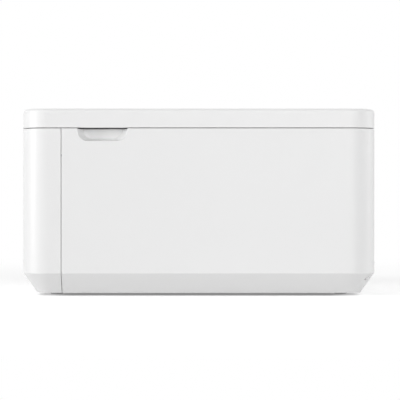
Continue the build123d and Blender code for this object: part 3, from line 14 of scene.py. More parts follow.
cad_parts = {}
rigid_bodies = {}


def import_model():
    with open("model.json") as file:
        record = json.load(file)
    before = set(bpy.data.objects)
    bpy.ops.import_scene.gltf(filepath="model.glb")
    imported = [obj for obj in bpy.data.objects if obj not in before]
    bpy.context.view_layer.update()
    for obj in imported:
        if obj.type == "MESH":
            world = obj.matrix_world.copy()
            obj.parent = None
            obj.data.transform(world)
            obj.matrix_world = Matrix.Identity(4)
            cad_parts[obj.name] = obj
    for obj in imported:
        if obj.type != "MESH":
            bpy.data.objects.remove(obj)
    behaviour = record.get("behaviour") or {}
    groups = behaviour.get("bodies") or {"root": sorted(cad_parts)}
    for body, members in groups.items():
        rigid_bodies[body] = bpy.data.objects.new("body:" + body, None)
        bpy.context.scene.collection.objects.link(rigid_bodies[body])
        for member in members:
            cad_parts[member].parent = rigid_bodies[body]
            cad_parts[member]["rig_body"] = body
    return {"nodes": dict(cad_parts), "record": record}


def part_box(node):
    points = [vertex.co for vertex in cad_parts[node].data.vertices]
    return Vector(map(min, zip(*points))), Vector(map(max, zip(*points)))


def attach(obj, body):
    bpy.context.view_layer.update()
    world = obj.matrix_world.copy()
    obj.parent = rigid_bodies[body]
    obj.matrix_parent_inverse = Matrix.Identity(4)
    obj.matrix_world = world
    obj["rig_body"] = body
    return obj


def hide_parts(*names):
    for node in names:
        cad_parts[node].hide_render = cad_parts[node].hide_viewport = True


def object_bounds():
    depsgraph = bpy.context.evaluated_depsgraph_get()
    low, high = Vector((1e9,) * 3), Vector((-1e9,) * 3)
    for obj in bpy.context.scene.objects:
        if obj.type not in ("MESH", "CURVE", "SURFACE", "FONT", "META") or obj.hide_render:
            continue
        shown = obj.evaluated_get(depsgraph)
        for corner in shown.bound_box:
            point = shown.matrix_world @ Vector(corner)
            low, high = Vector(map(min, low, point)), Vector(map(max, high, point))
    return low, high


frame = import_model()
CAD_BOX = [list(corner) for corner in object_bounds()]
MM = 0.001
# Points of a CAD mesh that are nearer than this are one point, and those at the poles of a spun form likewise.
WELD = 2e-6
POLE_WELD = 1e-7
# Two lengths that differ by less than this are the same.
SAME = 1e-6
# Degrees between CAD facets: up to the first they are one flat face, and past the second their edge is rounded.
FLAT = 0.3
CREASE = 28.0
# A face looks along an axis where its normal's part on that axis is larger than this.
FACING = 0.9
X_AXIS, Y_AXIS, Z_AXIS = Vector((1.0, 0.0, 0.0)), Vector((0.0, 1.0, 0.0)), Vector((0.0, 0.0, 1.0))

log = logging.getLogger("printer")

Colour = tuple[float, float, float]
Socket = bpy.types.NodeSocket
Vert = bmesh.types.BMVert
Node = bpy.types.Node
Feed = Socket | float | tuple
WHITE: Colour = (1.0, 1.0, 1.0)


class Bench:
    """A node tree with short ways to add and join its nodes."""

    def __init__(self, tree: bpy.types.NodeTree) -> None:
        """Take a material's, a world's or a group's node tree to work on."""
        self.tree = tree

    def feed(self, socket: Socket, value: Feed) -> None:
        """Link a socket's source, or set its value.

        Args:
            socket: the input socket.
            value: the output that feeds it, or its own value.
        """
        if isinstance(value, bpy.types.NodeSocket):
            self.tree.links.new(value, socket)
        else:
            socket.default_value = value

    def fill(self, node: Node, inputs: dict[str, Feed]) -> None:
        """Set a node's sockets by their names, with spaces written as underscores."""
        for name, value in inputs.items():
            self.feed(node.inputs[name.replace("_", " ")], value)

    def add(self, kind: str, label: str = "", **inputs: Feed) -> Node:
        """Add a node and set its sockets.

        Args:
            kind: the node's type without its ShaderNode prefix.
            label: the name of the group, where the node is a group.
            inputs: values or sources by socket name.

        Returns:
            The new node.
        """
        node = self.tree.nodes.new("ShaderNode" + kind)
        if label:
            node.node_tree = bpy.data.node_groups[label]
        self.fill(node, inputs)
        return node

    def operate(self, kind: str, operation: str, terms: Iterable[Feed]) -> Node:
        """Add a Math or Vector Math node.

        Args:
            kind: the node's type without its ShaderNode prefix.
            operation: what it does.
            terms: its inputs in order.

        Returns:
            The new node.
        """
        node = self.add(kind)
        node.operation = operation
        for socket, term in zip(node.inputs, terms):
            self.feed(socket, term)
        return node

    def math(self, operation: str, *terms: Socket | float) -> Socket:
        """Return the result of an operation on numbers."""
        return self.operate("Math", operation, terms).outputs["Value"]

    def vector(self, operation: str, *terms: Socket | tuple) -> Socket:
        """Return the result of an operation on vectors, which for LENGTH is a number."""
        return self.operate("VectorMath", operation, terms).outputs["Value" if operation == "LENGTH" else "Vector"]

    def spread(self, value: Socket, low: float, high: float, start: float = 0.0, stop: float = 1.0) -> Socket:
        """Map a value from start and stop to low and high, and hold it there."""
        ends = {"From_Min": start, "From_Max": stop, "To_Min": low, "To_Max": high}
        return self.add("MapRange", Value=value, **ends).outputs["Result"]

    def ramp(self, factor: Socket, low: float, high: float, dark: Colour, light: Colour) -> Socket:
        """Add a colour ramp between two places.

        Args:
            factor: the value that drives it.
            low: the place of the dark colour.
            high: the place of the light colour.
            dark: the colour below low.
            light: the colour above high.

        Returns:
            The colour.
        """
        node = self.add("ValToRGB", Fac=factor)
        first, last = node.color_ramp.elements
        first.position, last.position = low, high
        first.color, last.color = (*dark, 1.0), (*light, 1.0)
        return node.outputs["Color"]

    def tinted(self, base: Socket, tint: Socket, amount: float) -> Socket:
        """Multiply a colour by another one.

        Args:
            base: the colour.
            tint: what it is multiplied by.
            amount: how far, from 0 to 1.

        Returns:
            The new colour.
        """
        mix = self.add("Mix")
        mix.data_type, mix.blend_type = "RGBA", "MULTIPLY"
        # A Mix node has sockets of one name for each data type: those for colours are 6 and 7, and output 2.
        for number, value in ((0, amount), (6, base), (7, tint)):
            self.feed(mix.inputs[number], value)
        return mix.outputs[2]


class Surface(Bench):
    """A new material with its Principled shader and the Object coordinates."""

    def __init__(self, name: str) -> None:
        """Make the material.

        Args:
            name: its name.
        """
        self.material = bpy.data.materials.new(name)
        self.material.use_nodes = True
        super().__init__(self.material.node_tree)
        self.shader = self.tree.nodes["Principled BSDF"]
        self.place = self.add("TexCoord").outputs["Object"]

    def set(self, **inputs: Feed) -> None:
        """Set the shader's sockets by their names."""
        self.fill(self.shader, inputs)

    def bump(self, height: Socket, distance: float, strength: float = 1.0) -> None:
        """Raise the surface by a pattern, whose full height stands for a distance."""
        relief = self.add("Bump", Height=height, Strength=strength, Distance=distance)
        self.set(Normal=relief.outputs["Normal"])


class Effect(Enum):
    """The node groups that several finishes share."""

    GRAIN = "moulded grain"
    DRIFT = "tone drift"
    BRUSH = "brushed lines"
    RIBS = "fine ribs"

    def open(self, inputs: dict[str, float], outputs: dict[str, str]) -> tuple[Bench, Node, Node]:
        """Make the group empty, with a Place input for the Object coordinates.

        Args:
            inputs: its number inputs with their default values.
            outputs: its outputs with their socket types.

        Returns:
            Its bench, its input node and its output node.
        """
        tree = bpy.data.node_groups.new(self.value, "ShaderNodeTree")
        tree.interface.new_socket("Place", in_out="INPUT", socket_type="NodeSocketVector")
        for name, value in inputs.items():
            tree.interface.new_socket(name, in_out="INPUT", socket_type="NodeSocketFloat").default_value = value
        for name, kind in outputs.items():
            tree.interface.new_socket(name, in_out="OUTPUT", socket_type=kind)
        return Bench(tree), tree.nodes.new("NodeGroupInput"), tree.nodes.new("NodeGroupOutput")


def build_grain() -> None:
    """Build the grain of a moulded surface: small pits over a slow swell."""
    swell_share = 0.15
    bench, start, end = Effect.GRAIN.open(
        {"Pitch": 2200.0, "Swell": 60.0}, {"Height": "NodeSocketFloat", "Sheen": "NodeSocketFloat"}
    )
    place = start.outputs["Place"]
    pits = bench.add("TexNoise", Vector=place, Scale=start.outputs["Pitch"], Detail=2.0, Roughness=0.6)
    swell = bench.add("TexNoise", Vector=place, Scale=start.outputs["Swell"], Detail=1.0).outputs["Fac"]
    height = bench.math("MULTIPLY_ADD", swell, swell_share, pits.outputs["Fac"])
    bench.fill(end, {"Height": height, "Sheen": swell})


def build_drift() -> None:
    """Build a slow drift of tone, as between one run of plastic and the next."""
    speck_share = 0.35
    middle = (1.0 + speck_share) / 2
    channels = ("Red", "Green", "Blue")
    bench, start, end = Effect.DRIFT.open(
        {**dict.fromkeys(channels, 0.8), "Amount": 0.02}, {"Colour": "NodeSocketColor"}
    )
    place = start.outputs["Place"]
    cloud = bench.add("TexNoise", Vector=place, Scale=9.0, Detail=3.0, Roughness=0.55)
    speck = bench.add("TexNoise", Vector=place, Scale=900.0, Detail=1.0)
    blend = bench.math("MULTIPLY_ADD", speck.outputs["Fac"], speck_share, cloud.outputs["Fac"])
    factor = bench.math("MULTIPLY_ADD", bench.math("SUBTRACT", blend, middle), start.outputs["Amount"], 1.0)
    tones = {name: bench.math("MULTIPLY", start.outputs[name], factor) for name in channels}
    bench.fill(end, {"Colour": bench.add("CombineColor", **tones).outputs["Color"]})


def build_brush() -> None:
    """Build fine lines along X, as on drawn or ground metal."""
    bench, start, end = Effect.BRUSH.open({"Pitch": 1500.0}, {"Lines": "NodeSocketFloat"})
    stretch = bench.add("Mapping", Vector=start.outputs["Place"], Scale=(0.02, 1.0, 1.0))
    lines = bench.add("TexNoise", Vector=stretch.outputs["Vector"], Scale=start.outputs["Pitch"], Detail=3.0)
    bench.fill(end, {"Lines": lines.outputs["Fac"]})


def build_ribs() -> None:
    """Build even ribs across X, as on a toothed belt or an encoder film."""
    bench, start, end = Effect.RIBS.open({"Pitch": 0.002}, {"Rib": "NodeSocketFloat"})
    along = bench.add("SeparateXYZ", Vector=start.outputs["Place"]).outputs["X"]
    turn = bench.math("MULTIPLY", bench.math("DIVIDE", along, start.outputs["Pitch"]), math.tau)
    bench.fill(end, {"Rib": bench.math("MULTIPLY_ADD", bench.math("SINE", turn), 0.5, 0.5)})


@dataclass(frozen=True)
class Finish:
    """A moulded, painted or metal finish that a few numbers describe."""

    name: str
    colour: Colour
    roughness: float
    metal: float = 0.0
    pitch: float = 2200.0
    depth: float = 0.00002
    drift: float = 0.03
    sheen_spread: float = 0.06
    coat: float = 0.0
    brushed: bool = False

    def dress(self, surface: Surface) -> None:
        """Give the surface its colour, roughness and relief.

        Args:
            surface: the material in the making.
        """
        tones = dict(zip(("Red", "Green", "Blue"), self.colour))
        base = surface.add("Group", Effect.DRIFT.value, Place=surface.place, Amount=self.drift, **tones)
        kind = Effect.BRUSH if self.brushed else Effect.GRAIN
        texture = surface.add("Group", kind.value, Place=surface.place, Pitch=self.pitch)
        relief = texture.outputs["Lines" if self.brushed else "Height"]
        sheen = texture.outputs["Lines" if self.brushed else "Sheen"]
        low, high = self.roughness - self.sheen_spread, self.roughness + self.sheen_spread
        surface.set(Roughness=surface.spread(sheen, low, high))
        self.pattern(surface, base.outputs["Colour"], relief)

    def pattern(self, surface: Surface, base: Socket, relief: Socket) -> None:
        """Join the drifting colour and the grain, which a special finish adds its own pattern to."""
        surface.set(Base_Color=base)
        surface.bump(relief, self.depth)

    def material(self) -> bpy.types.Material:
        """Return the material, made once.

        Returns:
            The material of this finish's name.
        """
        found = bpy.data.materials.get(self.name)
        if found:
            return found
        surface = Surface(self.name)
        surface.set(Metallic=self.metal, Coat_Weight=self.coat)
        self.dress(surface)
        return surface.material


@dataclass(frozen=True)
class GlassFinish(Finish):
    """Clear float glass with the faint green of its body."""

    tint: Colour = (0.93, 0.98, 0.96)
    index: float = 1.45
    smear_scale: float = 14.0
    smear_roughness: float = 0.06

    def dress(self, surface: Surface) -> None:
        """Make the surface clear, with a faint smear.

        Args:
            surface: the material in the making.
        """
        surface.set(Transmission_Weight=1.0, IOR=self.index)
        smear = surface.add("TexNoise", Vector=surface.place, Scale=self.smear_scale, Detail=4.0).outputs["Fac"]
        surface.set(Roughness=surface.spread(smear, 0.0, self.smear_roughness))
        surface.set(Base_Color=surface.ramp(smear, 0.2, 0.8, self.colour, self.tint))


@dataclass(frozen=True)
class FoamFinish(Finish):
    """Open foam or felt: soft cells with no gloss, with painted shade in their pores."""

    cell: float = 700.0
    cell_depth: float = 0.0003
    painted_pore_shade: float = 0.72
    gloss: float = 0.2

    def pattern(self, surface: Surface, base: Socket, relief: Socket) -> None:
        """Add the cells, which take the place of the grain, with painted shade in their pores.

        Args:
            surface: the material in the making.
            base: the drifting colour.
            relief: the height of the grain, which is not used.
        """
        cells = surface.add("TexVoronoi", Vector=surface.place, Scale=self.cell).outputs["Distance"]
        # Painted shade: the colour is darkened towards each cell's middle, where the bump sinks a pore.
        shade = surface.ramp(cells, 0.1, 0.7, (self.painted_pore_shade,) * 3, WHITE)
        surface.set(Base_Color=surface.tinted(base, shade, 0.5), Specular_IOR_Level=self.gloss)
        surface.bump(cells, self.cell_depth, strength=0.8)


@dataclass(frozen=True)
class BoardFinish(Finish):
    """Solder mask over copper tracks."""

    track_pitch: float = 260.0
    track_width: float = 0.12
    mask_tones: tuple[Colour, Colour] = (WHITE, (0.85, 0.95, 0.85))
    track_tone: Colour = (1.5, 1.7, 1.2)

    def pattern(self, surface: Surface, base: Socket, relief: Socket) -> None:
        """Add the tracks.

        Args:
            surface: the material in the making.
            base: the drifting colour.
            relief: the height of the grain.
        """
        upright = surface.add("Mapping", Vector=surface.place, Rotation=(math.radians(90.0), 0.0, 0.0))
        first, second = self.mask_tones
        tracks = surface.add(
            "TexBrick", Vector=upright.outputs["Vector"], Scale=self.track_pitch, Mortar_Size=self.track_width,
            Color1=(*first, 1.0), Color2=(*second, 1.0), Mortar=(*self.track_tone, 1.0),
        )
        super().pattern(surface, surface.tinted(base, tracks.outputs["Color"], 0.8), relief)


@dataclass(frozen=True)
class RibbedFinish(Finish):
    """A surface with even ribs across X, raised by rib_height and darkened between them: painted shade on a belt, and
    the printed bars of an encoder film.
    """

    rib_pitch: float = 0.002
    rib_height: float = 0.0004
    valley_print_and_shade: float = 0.6

    def pattern(self, surface: Surface, base: Socket, relief: Socket) -> None:
        """Add the ribs, which take the place of the grain.

        Args:
            surface: the material in the making.
            base: the drifting colour.
            relief: the height of the grain, which is not used.
        """
        ribs = surface.add("Group", Effect.RIBS.value, Place=surface.place, Pitch=self.rib_pitch)
        rib = ribs.outputs["Rib"]
        # Darker between the ribs: painted shade in a belt's grooves, and the printed bars on an encoder film.
        shade = surface.ramp(rib, 0.4, 0.6, (self.valley_print_and_shade,) * 3, WHITE)
        surface.set(Base_Color=surface.tinted(base, shade, 1.0))
        surface.bump(rib, self.rib_height)


@dataclass(frozen=True)
class SheetFinish(Finish):
    """Zinc-coated sheet steel with its faint spangle."""

    spangle: float = 120.0
    spangle_tone: Colour = (0.82, 0.82, 0.83)

    def pattern(self, surface: Surface, base: Socket, relief: Socket) -> None:
        """Add the spangle.

        Args:
            surface: the material in the making.
            base: the drifting colour.
            relief: the height of the grain.
        """
        cells = surface.add("TexVoronoi", Vector=surface.place, Scale=self.spangle).outputs["Color"]
        tone = surface.add("SeparateColor", Color=cells).outputs["Red"]
        shade = surface.ramp(tone, 0.0, 1.0, self.spangle_tone, WHITE)
        super().pattern(surface, surface.tinted(base, shade, 1.0), relief)


CASING = Finish("casing white", (0.83, 0.83, 0.83), 0.42, depth=0.000012, drift=0.015)
LID = Finish("lid white", (0.84, 0.84, 0.84), 0.40, depth=0.000010, drift=0.012)
INNER_GREY = Finish("inner grey", (0.30, 0.31, 0.32), 0.5)
TRAY_GREY = Finish("tray grey", (0.42, 0.43, 0.44), 0.46)
DARK = Finish("dark plastic", (0.035, 0.036, 0.04), 0.48)
ACETAL = Finish("gear acetal", (0.80, 0.78, 0.70), 0.35)
FOOT = Finish("foot rubber", (0.20, 0.20, 0.20), 0.75, depth=0.00004)
BELT = RibbedFinish("belt rubber", (0.035, 0.035, 0.035), 0.6, pitch=1500.0)
ROLLER = Finish("roller rubber", (0.10, 0.10, 0.105), 0.68, pitch=1200.0, depth=0.00005)
GRIT = Finish("roller grit", (0.34, 0.34, 0.35), 0.55, metal=1.0, pitch=5000.0, depth=0.00004)
STEEL = SheetFinish("zinc steel", (0.56, 0.57, 0.58), 0.38, metal=1.0, pitch=400.0, drift=0.1)
ROD = Finish("ground rod", (0.72, 0.72, 0.73), 0.16, metal=1.0, pitch=2600.0, depth=0.000004, brushed=True)
CAN = Finish("motor can", (0.50, 0.50, 0.51), 0.32, metal=1.0, pitch=900.0, brushed=True, depth=0.000006)
PIN = Finish("socket plating", (0.66, 0.65, 0.62), 0.22, metal=1.0, brushed=True, depth=0.000003)
FILM = RibbedFinish("encoder film", (0.62, 0.63, 0.62), 0.2, rib_pitch=0.0006, rib_height=0.00001, valley_print_and_shade=0.25)
CARTRIDGE = Finish("cartridge black", (0.02, 0.02, 0.022), 0.4)
LABEL = Finish("cartridge label", (0.45, 0.45, 0.46), 0.3, depth=0.000004)
CYAN = Finish("cyan mark", (0.02, 0.35, 0.60), 0.35, depth=0.000004)
MAGENTA = Finish("magenta mark", (0.58, 0.02, 0.22), 0.35, depth=0.000004)
YELLOW = Finish("yellow mark", (0.80, 0.62, 0.03), 0.35, depth=0.000004)
PANEL = Finish("panel satin", (0.012, 0.012, 0.014), 0.38, depth=0.000003, sheen_spread=0.03)
BUTTON = Finish("button satin", (0.66, 0.67, 0.68), 0.34, depth=0.000006)
PRINT = Finish("icon print", (0.03, 0.03, 0.035), 0.5, depth=0.000003)
LENS = Finish("milky lens", (0.74, 0.78, 0.74), 0.25, depth=0.000003)
SCREW = Finish("screw steel", (0.10, 0.10, 0.105), 0.35, metal=1.0, brushed=True)
GLASS = GlassFinish("scanner glass", (0.90, 0.97, 0.94), 0.03)
FOAM = FoamFinish("pad foam", (0.86, 0.86, 0.84), 0.9, drift=0.04)
FELT = FoamFinish("waste felt", (0.70, 0.69, 0.66), 0.95, drift=0.1, cell=400.0)
BOARD = BoardFinish("board green", (0.02, 0.13, 0.06), 0.3, coat=0.3)
NYLON = Finish("header nylon", (0.72, 0.70, 0.64), 0.4)


def slot_of(node: str) -> str:
    """Return the record's material slot of a CAD node."""
    return next(entry["material_slot"] for entry in frame["record"]["subparts"] if entry["node"] == node)


def body_of(node: str) -> str:
    """Return the name of the body that a CAD node rides on."""
    return frame["nodes"][node]["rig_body"]


def linked(name: str, data: bpy.types.ID) -> bpy.types.Object:
    """Put a new object in the scene.

    Args:
        name: its name.
        data: its mesh, light or camera.

    Returns:
        The object.
    """
    item = bpy.data.objects.new(name, data)
    bpy.context.scene.collection.objects.link(item)
    return item


@dataclass(frozen=True)
class Zone:
    """The faces of a piece that have a finish of their own, told by where their middle lies."""

    finish: Finish
    holds: Callable[[Vector], bool]


def inside(low: Vector, high: Vector) -> Callable[[Vector], bool]:
    """Return the test for points in a box."""
    return lambda place: all(a <= value <= b for a, value, b in zip(low, place, high))


def tyre(node: str, finish: Finish, radius: float) -> Zone:
    """Return the zone of a roller's tyre, which lies further than a radius from its axis along X."""
    middle = sum(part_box(node), Vector()) / 2
    return Zone(finish, lambda place: math.hypot(place.y - middle.y, place.z - middle.z) > radius)


@dataclass(frozen=True)
class Cut:
    """A plane that parts faces, so that two finishes can meet on it."""

    place: Vector
    normal: Vector


class Form:
    """A mesh in the making, shaped with mesh operators."""

    smooth_angle = 35.0

    def __init__(self) -> None:
        """Start with no geometry."""
        self.shape = bmesh.new()

    def bevel(self, edges: Iterable[bmesh.types.BMEdge], radius: float, segments: int = 2) -> None:
        """Round edges over by a radius, with as many facets across as there are segments."""
        bmesh.ops.bevel(
            self.shape, geom=list(edges), offset=radius, offset_type="OFFSET", segments=segments, profile=0.5,
            affect="EDGES", clamp_overlap=True, material=-1,
        )

    def part(self, place: Vector, normal: Vector) -> None:
        """Part the faces along the plane through a place."""
        parts = self.shape.verts[:] + self.shape.edges[:] + self.shape.faces[:]
        bmesh.ops.bisect_plane(self.shape, geom=parts, plane_co=place, plane_no=normal, dist=SAME)

    def block(self, low: Vector, high: Vector) -> list[Vert]:
        """Add a sharp block.

        Args:
            low: its lowest corner.
            high: its highest corner.

        Returns:
            Its corners.
        """
        corners = bmesh.ops.create_cube(self.shape, size=1.0)["verts"]
        bmesh.ops.scale(self.shape, vec=high - low, verts=corners)
        bmesh.ops.translate(self.shape, vec=(low + high) / 2, verts=corners)
        return corners

    def rounded_block(self, low: Vector, high: Vector, radius: float) -> None:
        """Add a block between two corners, with its edges rounded."""
        self.bevel({edge for corner in self.block(low, high) for edge in corner.link_edges}, radius)

    def turned_block(self, low: Vector, high: Vector, degrees: float, axis: str, about: Vector) -> None:
        """Add a sharp block, turned by some degrees about an axis through a point."""
        turn = Matrix.Rotation(math.radians(degrees), 3, axis)
        bmesh.ops.rotate(self.shape, cent=about, matrix=turn, verts=self.block(low, high))

    def spin(
        self, profile: Iterable[tuple[float, float]], centre: Vector, steps: int, degrees: float = 360.0,
        start: float = 0.0, ring: bool = False,
    ) -> None:
        """Spin a profile round an upright axis.

        Args:
            profile: pairs of a radius and a height, for a solid from the foot of its axis to the top.
            centre: a point on the axis, which the heights are measured from.
            steps: the facets round it.
            degrees: how far it goes round.
            start: the angle that it starts at, from X.
            ring: whether it is a part of a ring, whose profile is closed.
        """
        turn = Matrix.Rotation(math.radians(start), 3, "Z")
        line = [self.shape.verts.new(centre + turn @ Vector((radius, 0.0, rise))) for radius, rise in profile]
        ends = line[1:] + line[:1] if ring else line[1:]
        edges = [self.shape.edges.new(pair) for pair in zip(line, ends)]
        bmesh.ops.spin(
            self.shape, geom=line + edges, axis=Z_AXIS, cent=centre, angle=math.radians(degrees), steps=steps,
            use_merge=not ring,
        )
        bmesh.ops.remove_doubles(self.shape, verts=self.shape.verts, dist=POLE_WELD)
        self.close()

    def outline(self, low: Vector, high: Vector, stroke: float) -> None:
        """Add the raised outline of a flat rectangle.

        Args:
            low: its lowest corner.
            high: its highest corner, at the top of the line.
            stroke: the width of its line.
        """
        corners = bmesh.ops.create_grid(self.shape, x_segments=1, y_segments=1, size=0.5)["verts"]
        bmesh.ops.scale(self.shape, vec=(high.x - low.x, high.y - low.y, 1.0), verts=corners)
        bmesh.ops.translate(self.shape, vec=((low.x + high.x) / 2, (low.y + high.y) / 2, low.z), verts=corners)
        sheet = corners[0].link_faces[0]
        ring = bmesh.ops.inset_region(
            self.shape, faces=[sheet], thickness=stroke, use_boundary=True, use_even_offset=True
        )["faces"]
        bmesh.ops.delete(self.shape, geom=[sheet], context="FACES_ONLY")
        raised = bmesh.ops.extrude_face_region(self.shape, geom=ring, use_keep_orig=True)["geom"]
        tops = [item for item in raised if isinstance(item, Vert)]
        bmesh.ops.translate(self.shape, vec=(0.0, 0.0, high.z - low.z), verts=tops)
        self.close()

    def drop(self, loop: list[Vert], depth: float) -> None:
        """Extrude a loop of vertices straight down.

        Args:
            loop: the vertices.
            depth: how far down their wall goes.
        """
        edges = [edge for edge in self.shape.edges if all(vert in loop for vert in edge.verts)]
        lowered = bmesh.ops.extrude_edge_only(self.shape, edges=edges)["geom"]
        verts = [item for item in lowered if isinstance(item, Vert)]
        bmesh.ops.translate(self.shape, vec=(0.0, 0.0, -depth), verts=verts)

    def close(self) -> None:
        """Fill every hole, and point the faces outwards."""
        rims = [edge for edge in self.shape.edges if edge.is_boundary]
        bmesh.ops.holes_fill(self.shape, edges=rims, sides=0)
        bmesh.ops.recalc_face_normals(self.shape, faces=self.shape.faces)

    def mesh(self, name: str) -> bpy.types.Mesh:
        """Turn the form into a mesh that shades smoothly up to its angle.

        Args:
            name: the mesh's name.

        Returns:
            The mesh.
        """
        mesh = bpy.data.meshes.new(name)
        self.shape.to_mesh(mesh)
        self.shape.free()
        mesh.shade_smooth()
        mesh.set_sharp_from_angle(angle=math.radians(self.smooth_angle))
        return mesh

    def piece(self, name: str, finishes: list[Finish], body: str, slot: str) -> bpy.types.Object:
        """Put the form in the scene, dress it and let it ride on its body.

        Args:
            name: the piece's name.
            finishes: its finishes, in the order of its faces' material numbers.
            body: the CAD body that carries it.
            slot: the record's material slot, which is not used.

        Returns:
            The new object.
        """
        piece = linked(name, self.mesh(name))
        for finish in finishes:
            piece.data.materials.append(finish.material())
        piece.modifiers.new("even_normals", "WEIGHTED_NORMAL").keep_sharp = True
        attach(piece, body)
        log.info("%s rides on %s in %s", name, body, ", ".join(finish.name for finish in finishes))
        return piece


def softened(
    node: str, finish: Finish, edge: float, zones: Iterable[Zone] = (), cuts: Iterable[Cut] = (),
    bare_below: float = -1.0,
) -> None:
    """Replace a CAD node by a copy whose moulded edges are rounded over.

    Args:
        node: the CAD node.
        finish: the piece's finish.
        edge: the radius of the edges, or 0 for none.
        zones: the faces that have other finishes.
        cuts: the planes that part the faces of the zones.
        bare_below: edges that lie lower than this stay as they are.
    """
    form = Form()
    shape = form.shape
    shape.from_mesh(frame["nodes"][node].data)
    bmesh.ops.remove_doubles(shape, verts=shape.verts, dist=WELD)
    bmesh.ops.dissolve_limit(shape, angle_limit=math.radians(FLAT), verts=shape.verts, edges=shape.edges)
    if edge > 0:
        moulded = [
            line for line in shape.edges
            if len(line.link_faces) == 2 and line.calc_face_angle(0.0) > math.radians(CREASE)
            and max(vert.co.z for vert in line.verts) > bare_below
        ]
        form.bevel(moulded, edge)
    for cut in cuts:
        form.part(cut.place, cut.normal)
    finishes = [finish] + [zone.finish for zone in zones]
    piece = form.piece(node + "_skin", finishes, body_of(node), slot_of(node))
    for face in piece.data.polygons:
        for number, zone in enumerate(zones, 1):
            if zone.holds(face.center):
                face.material_index = number
    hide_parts(node)


def recoated(node: str, finish: Finish) -> None:
    """Give a CAD node that keeps its own shape its finish.

    Args:
        node: the CAD node.
        finish: its finish.
    """
    materials = frame["nodes"][node].data.materials
    materials.clear()
    materials.append(finish.material())
    log.info("%s keeps its shape in %s", node, finish.name)


@dataclass(frozen=True)
class SoftPad:
    """A flat foam or felt pad: round corners, soft edges and a free face that swells to its middle.

    Crown is how far the middle of that face stands out from its rim, below the pad where it is negative.
    """

    name: str
    node: str
    finish: Finish
    corner: float
    edge: float
    crown: float
    corner_steps: int = 5
    edge_steps: int = 3
    smooth_angle: float = 60.0
    grid: tuple[int, int] = (15, 11)
    fullness: int = 4

    def build(self) -> None:
        """Model the pad in the box of its CAD node."""
        low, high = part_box(self.node)
        form = Form()
        form.smooth_angle = self.smooth_angle
        form.block(low, high)
        upright = [line for line in form.shape.edges if abs(line.verts[0].co.z - line.verts[1].co.z) > SAME]
        form.bevel(upright, self.corner, self.corner_steps)
        square = math.radians(self.smooth_angle)
        rims = [line for line in form.shape.edges if line.calc_face_angle(0.0) > square]
        form.bevel(rims, self.edge, self.edge_steps)
        for axis, count in zip((X_AXIS, Y_AXIS), self.grid):
            for step in range(1, count):
                form.part(low + (high - low) * step / count, axis)
        middle, half = (low + high) / 2, (high - low) / 2
        for vert in form.shape.verts:
            if (vert.co.z - middle.z) * self.crown > 0:
                across = min(1.0, abs((vert.co.x - middle.x) / half.x))
                along = min(1.0, abs((vert.co.y - middle.y) / half.y))
                swell = (1.0 - across ** self.fullness) * (1.0 - along ** self.fullness)
                vert.co.z -= self.crown * (1.0 - swell)
        piece = form.piece(self.name, [self.finish], body_of(self.node), slot_of(self.node))
        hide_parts(self.node)


@dataclass
class Screw:
    """Pan-head screw with a six-lobed socket."""

    radius: float = 2.9 * MM
    rise: float = 1.1 * MM
    socket: float = 1.35 * MM
    socket_depth: float = 0.8 * MM
    waist: float = 0.74
    crown: float = 0.77 * MM
    crown_steps: int = 3
    rim_points: int = 24
    lobe_points: int = 12

    def build(self, name: str, place: Vector, direction: Vector, body: str) -> None:
        """Set the screw's head on a surface.

        Args:
            name: the piece's name.
            place: the point where its head sits.
            direction: where its head points.
            body: the body that carries it.
        """
        form = Form()
        shape = form.shape
        rim, lobes = (
            bmesh.ops.create_circle(shape, cap_ends=False, segments=points, radius=radius)["verts"]
            for points, radius in ((self.rim_points, self.radius), (self.lobe_points, self.socket))
        )
        bmesh.ops.scale(shape, vec=(self.waist, self.waist, 1.0), verts=lobes[::2])
        bmesh.ops.bridge_loops(shape, edges=list({edge for vert in rim + lobes for edge in vert.link_edges}))
        bmesh.ops.translate(shape, vec=(0.0, 0.0, self.rise), verts=shape.verts)
        form.drop(rim, self.rise)
        form.drop(lobes, self.socket_depth)
        form.close()
        form.bevel([edge for edge in shape.edges if all(map(self.on_crown, edge.verts))], self.crown, self.crown_steps)
        turn = direction.to_track_quat("Z", "Y").to_matrix().to_4x4()
        bmesh.ops.transform(shape, matrix=Matrix.Translation(place) @ turn, verts=shape.verts)
        form.piece(name, [SCREW], body, "steel")

    def on_crown(self, vert: Vert) -> bool:
        """Return whether a vertex lies on the upper rim of the head."""
        return abs(vert.co.xy.length - self.radius) < SAME and vert.co.z > self.rise / 2


@dataclass
class Casing:
    """The outer covers, the base tray and the feet."""

    edge: float = 0.35 * MM
    foot_edge: float = 0.3 * MM
    foot_line: float = 4.0 * MM
    chamfer_top: float = 25.6 * MM
    chamfer_inset: float = 16.0 * MM
    screw_height: float = 14.0 * MM
    screw_side: float = 112.0 * MM

    def build(self) -> None:
        """Dress the covers."""
        for node in ("left_side_cover", "right_side_cover", "rear_cover"):
            softened(node, CASING, self.edge, bare_below=self.foot_line)
        softened("rear_top_housing", CASING, self.edge)
        softened("base_tray", DARK, self.edge, bare_below=self.foot_line)
        softened("rubber_feet", FOOT, self.foot_edge)
        recoated("front_cover_hinge_pins", STEEL)
        self.screws()

    def screws(self) -> None:
        """Put the two screws of the rear cover in its sloping foot."""
        low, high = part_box("rear_cover")
        run = self.chamfer_top - low.z
        slope = Vector((0.0, run, -self.chamfer_inset)).normalized()
        setback = self.chamfer_inset * (self.chamfer_top - self.screw_height) / run
        for name, side in (("rear_screw_left", 1), ("rear_screw_right", -1)):
            place = Vector((side * self.screw_side, high.y - setback, self.screw_height))
            Screw().build(name, place, slope, "base")


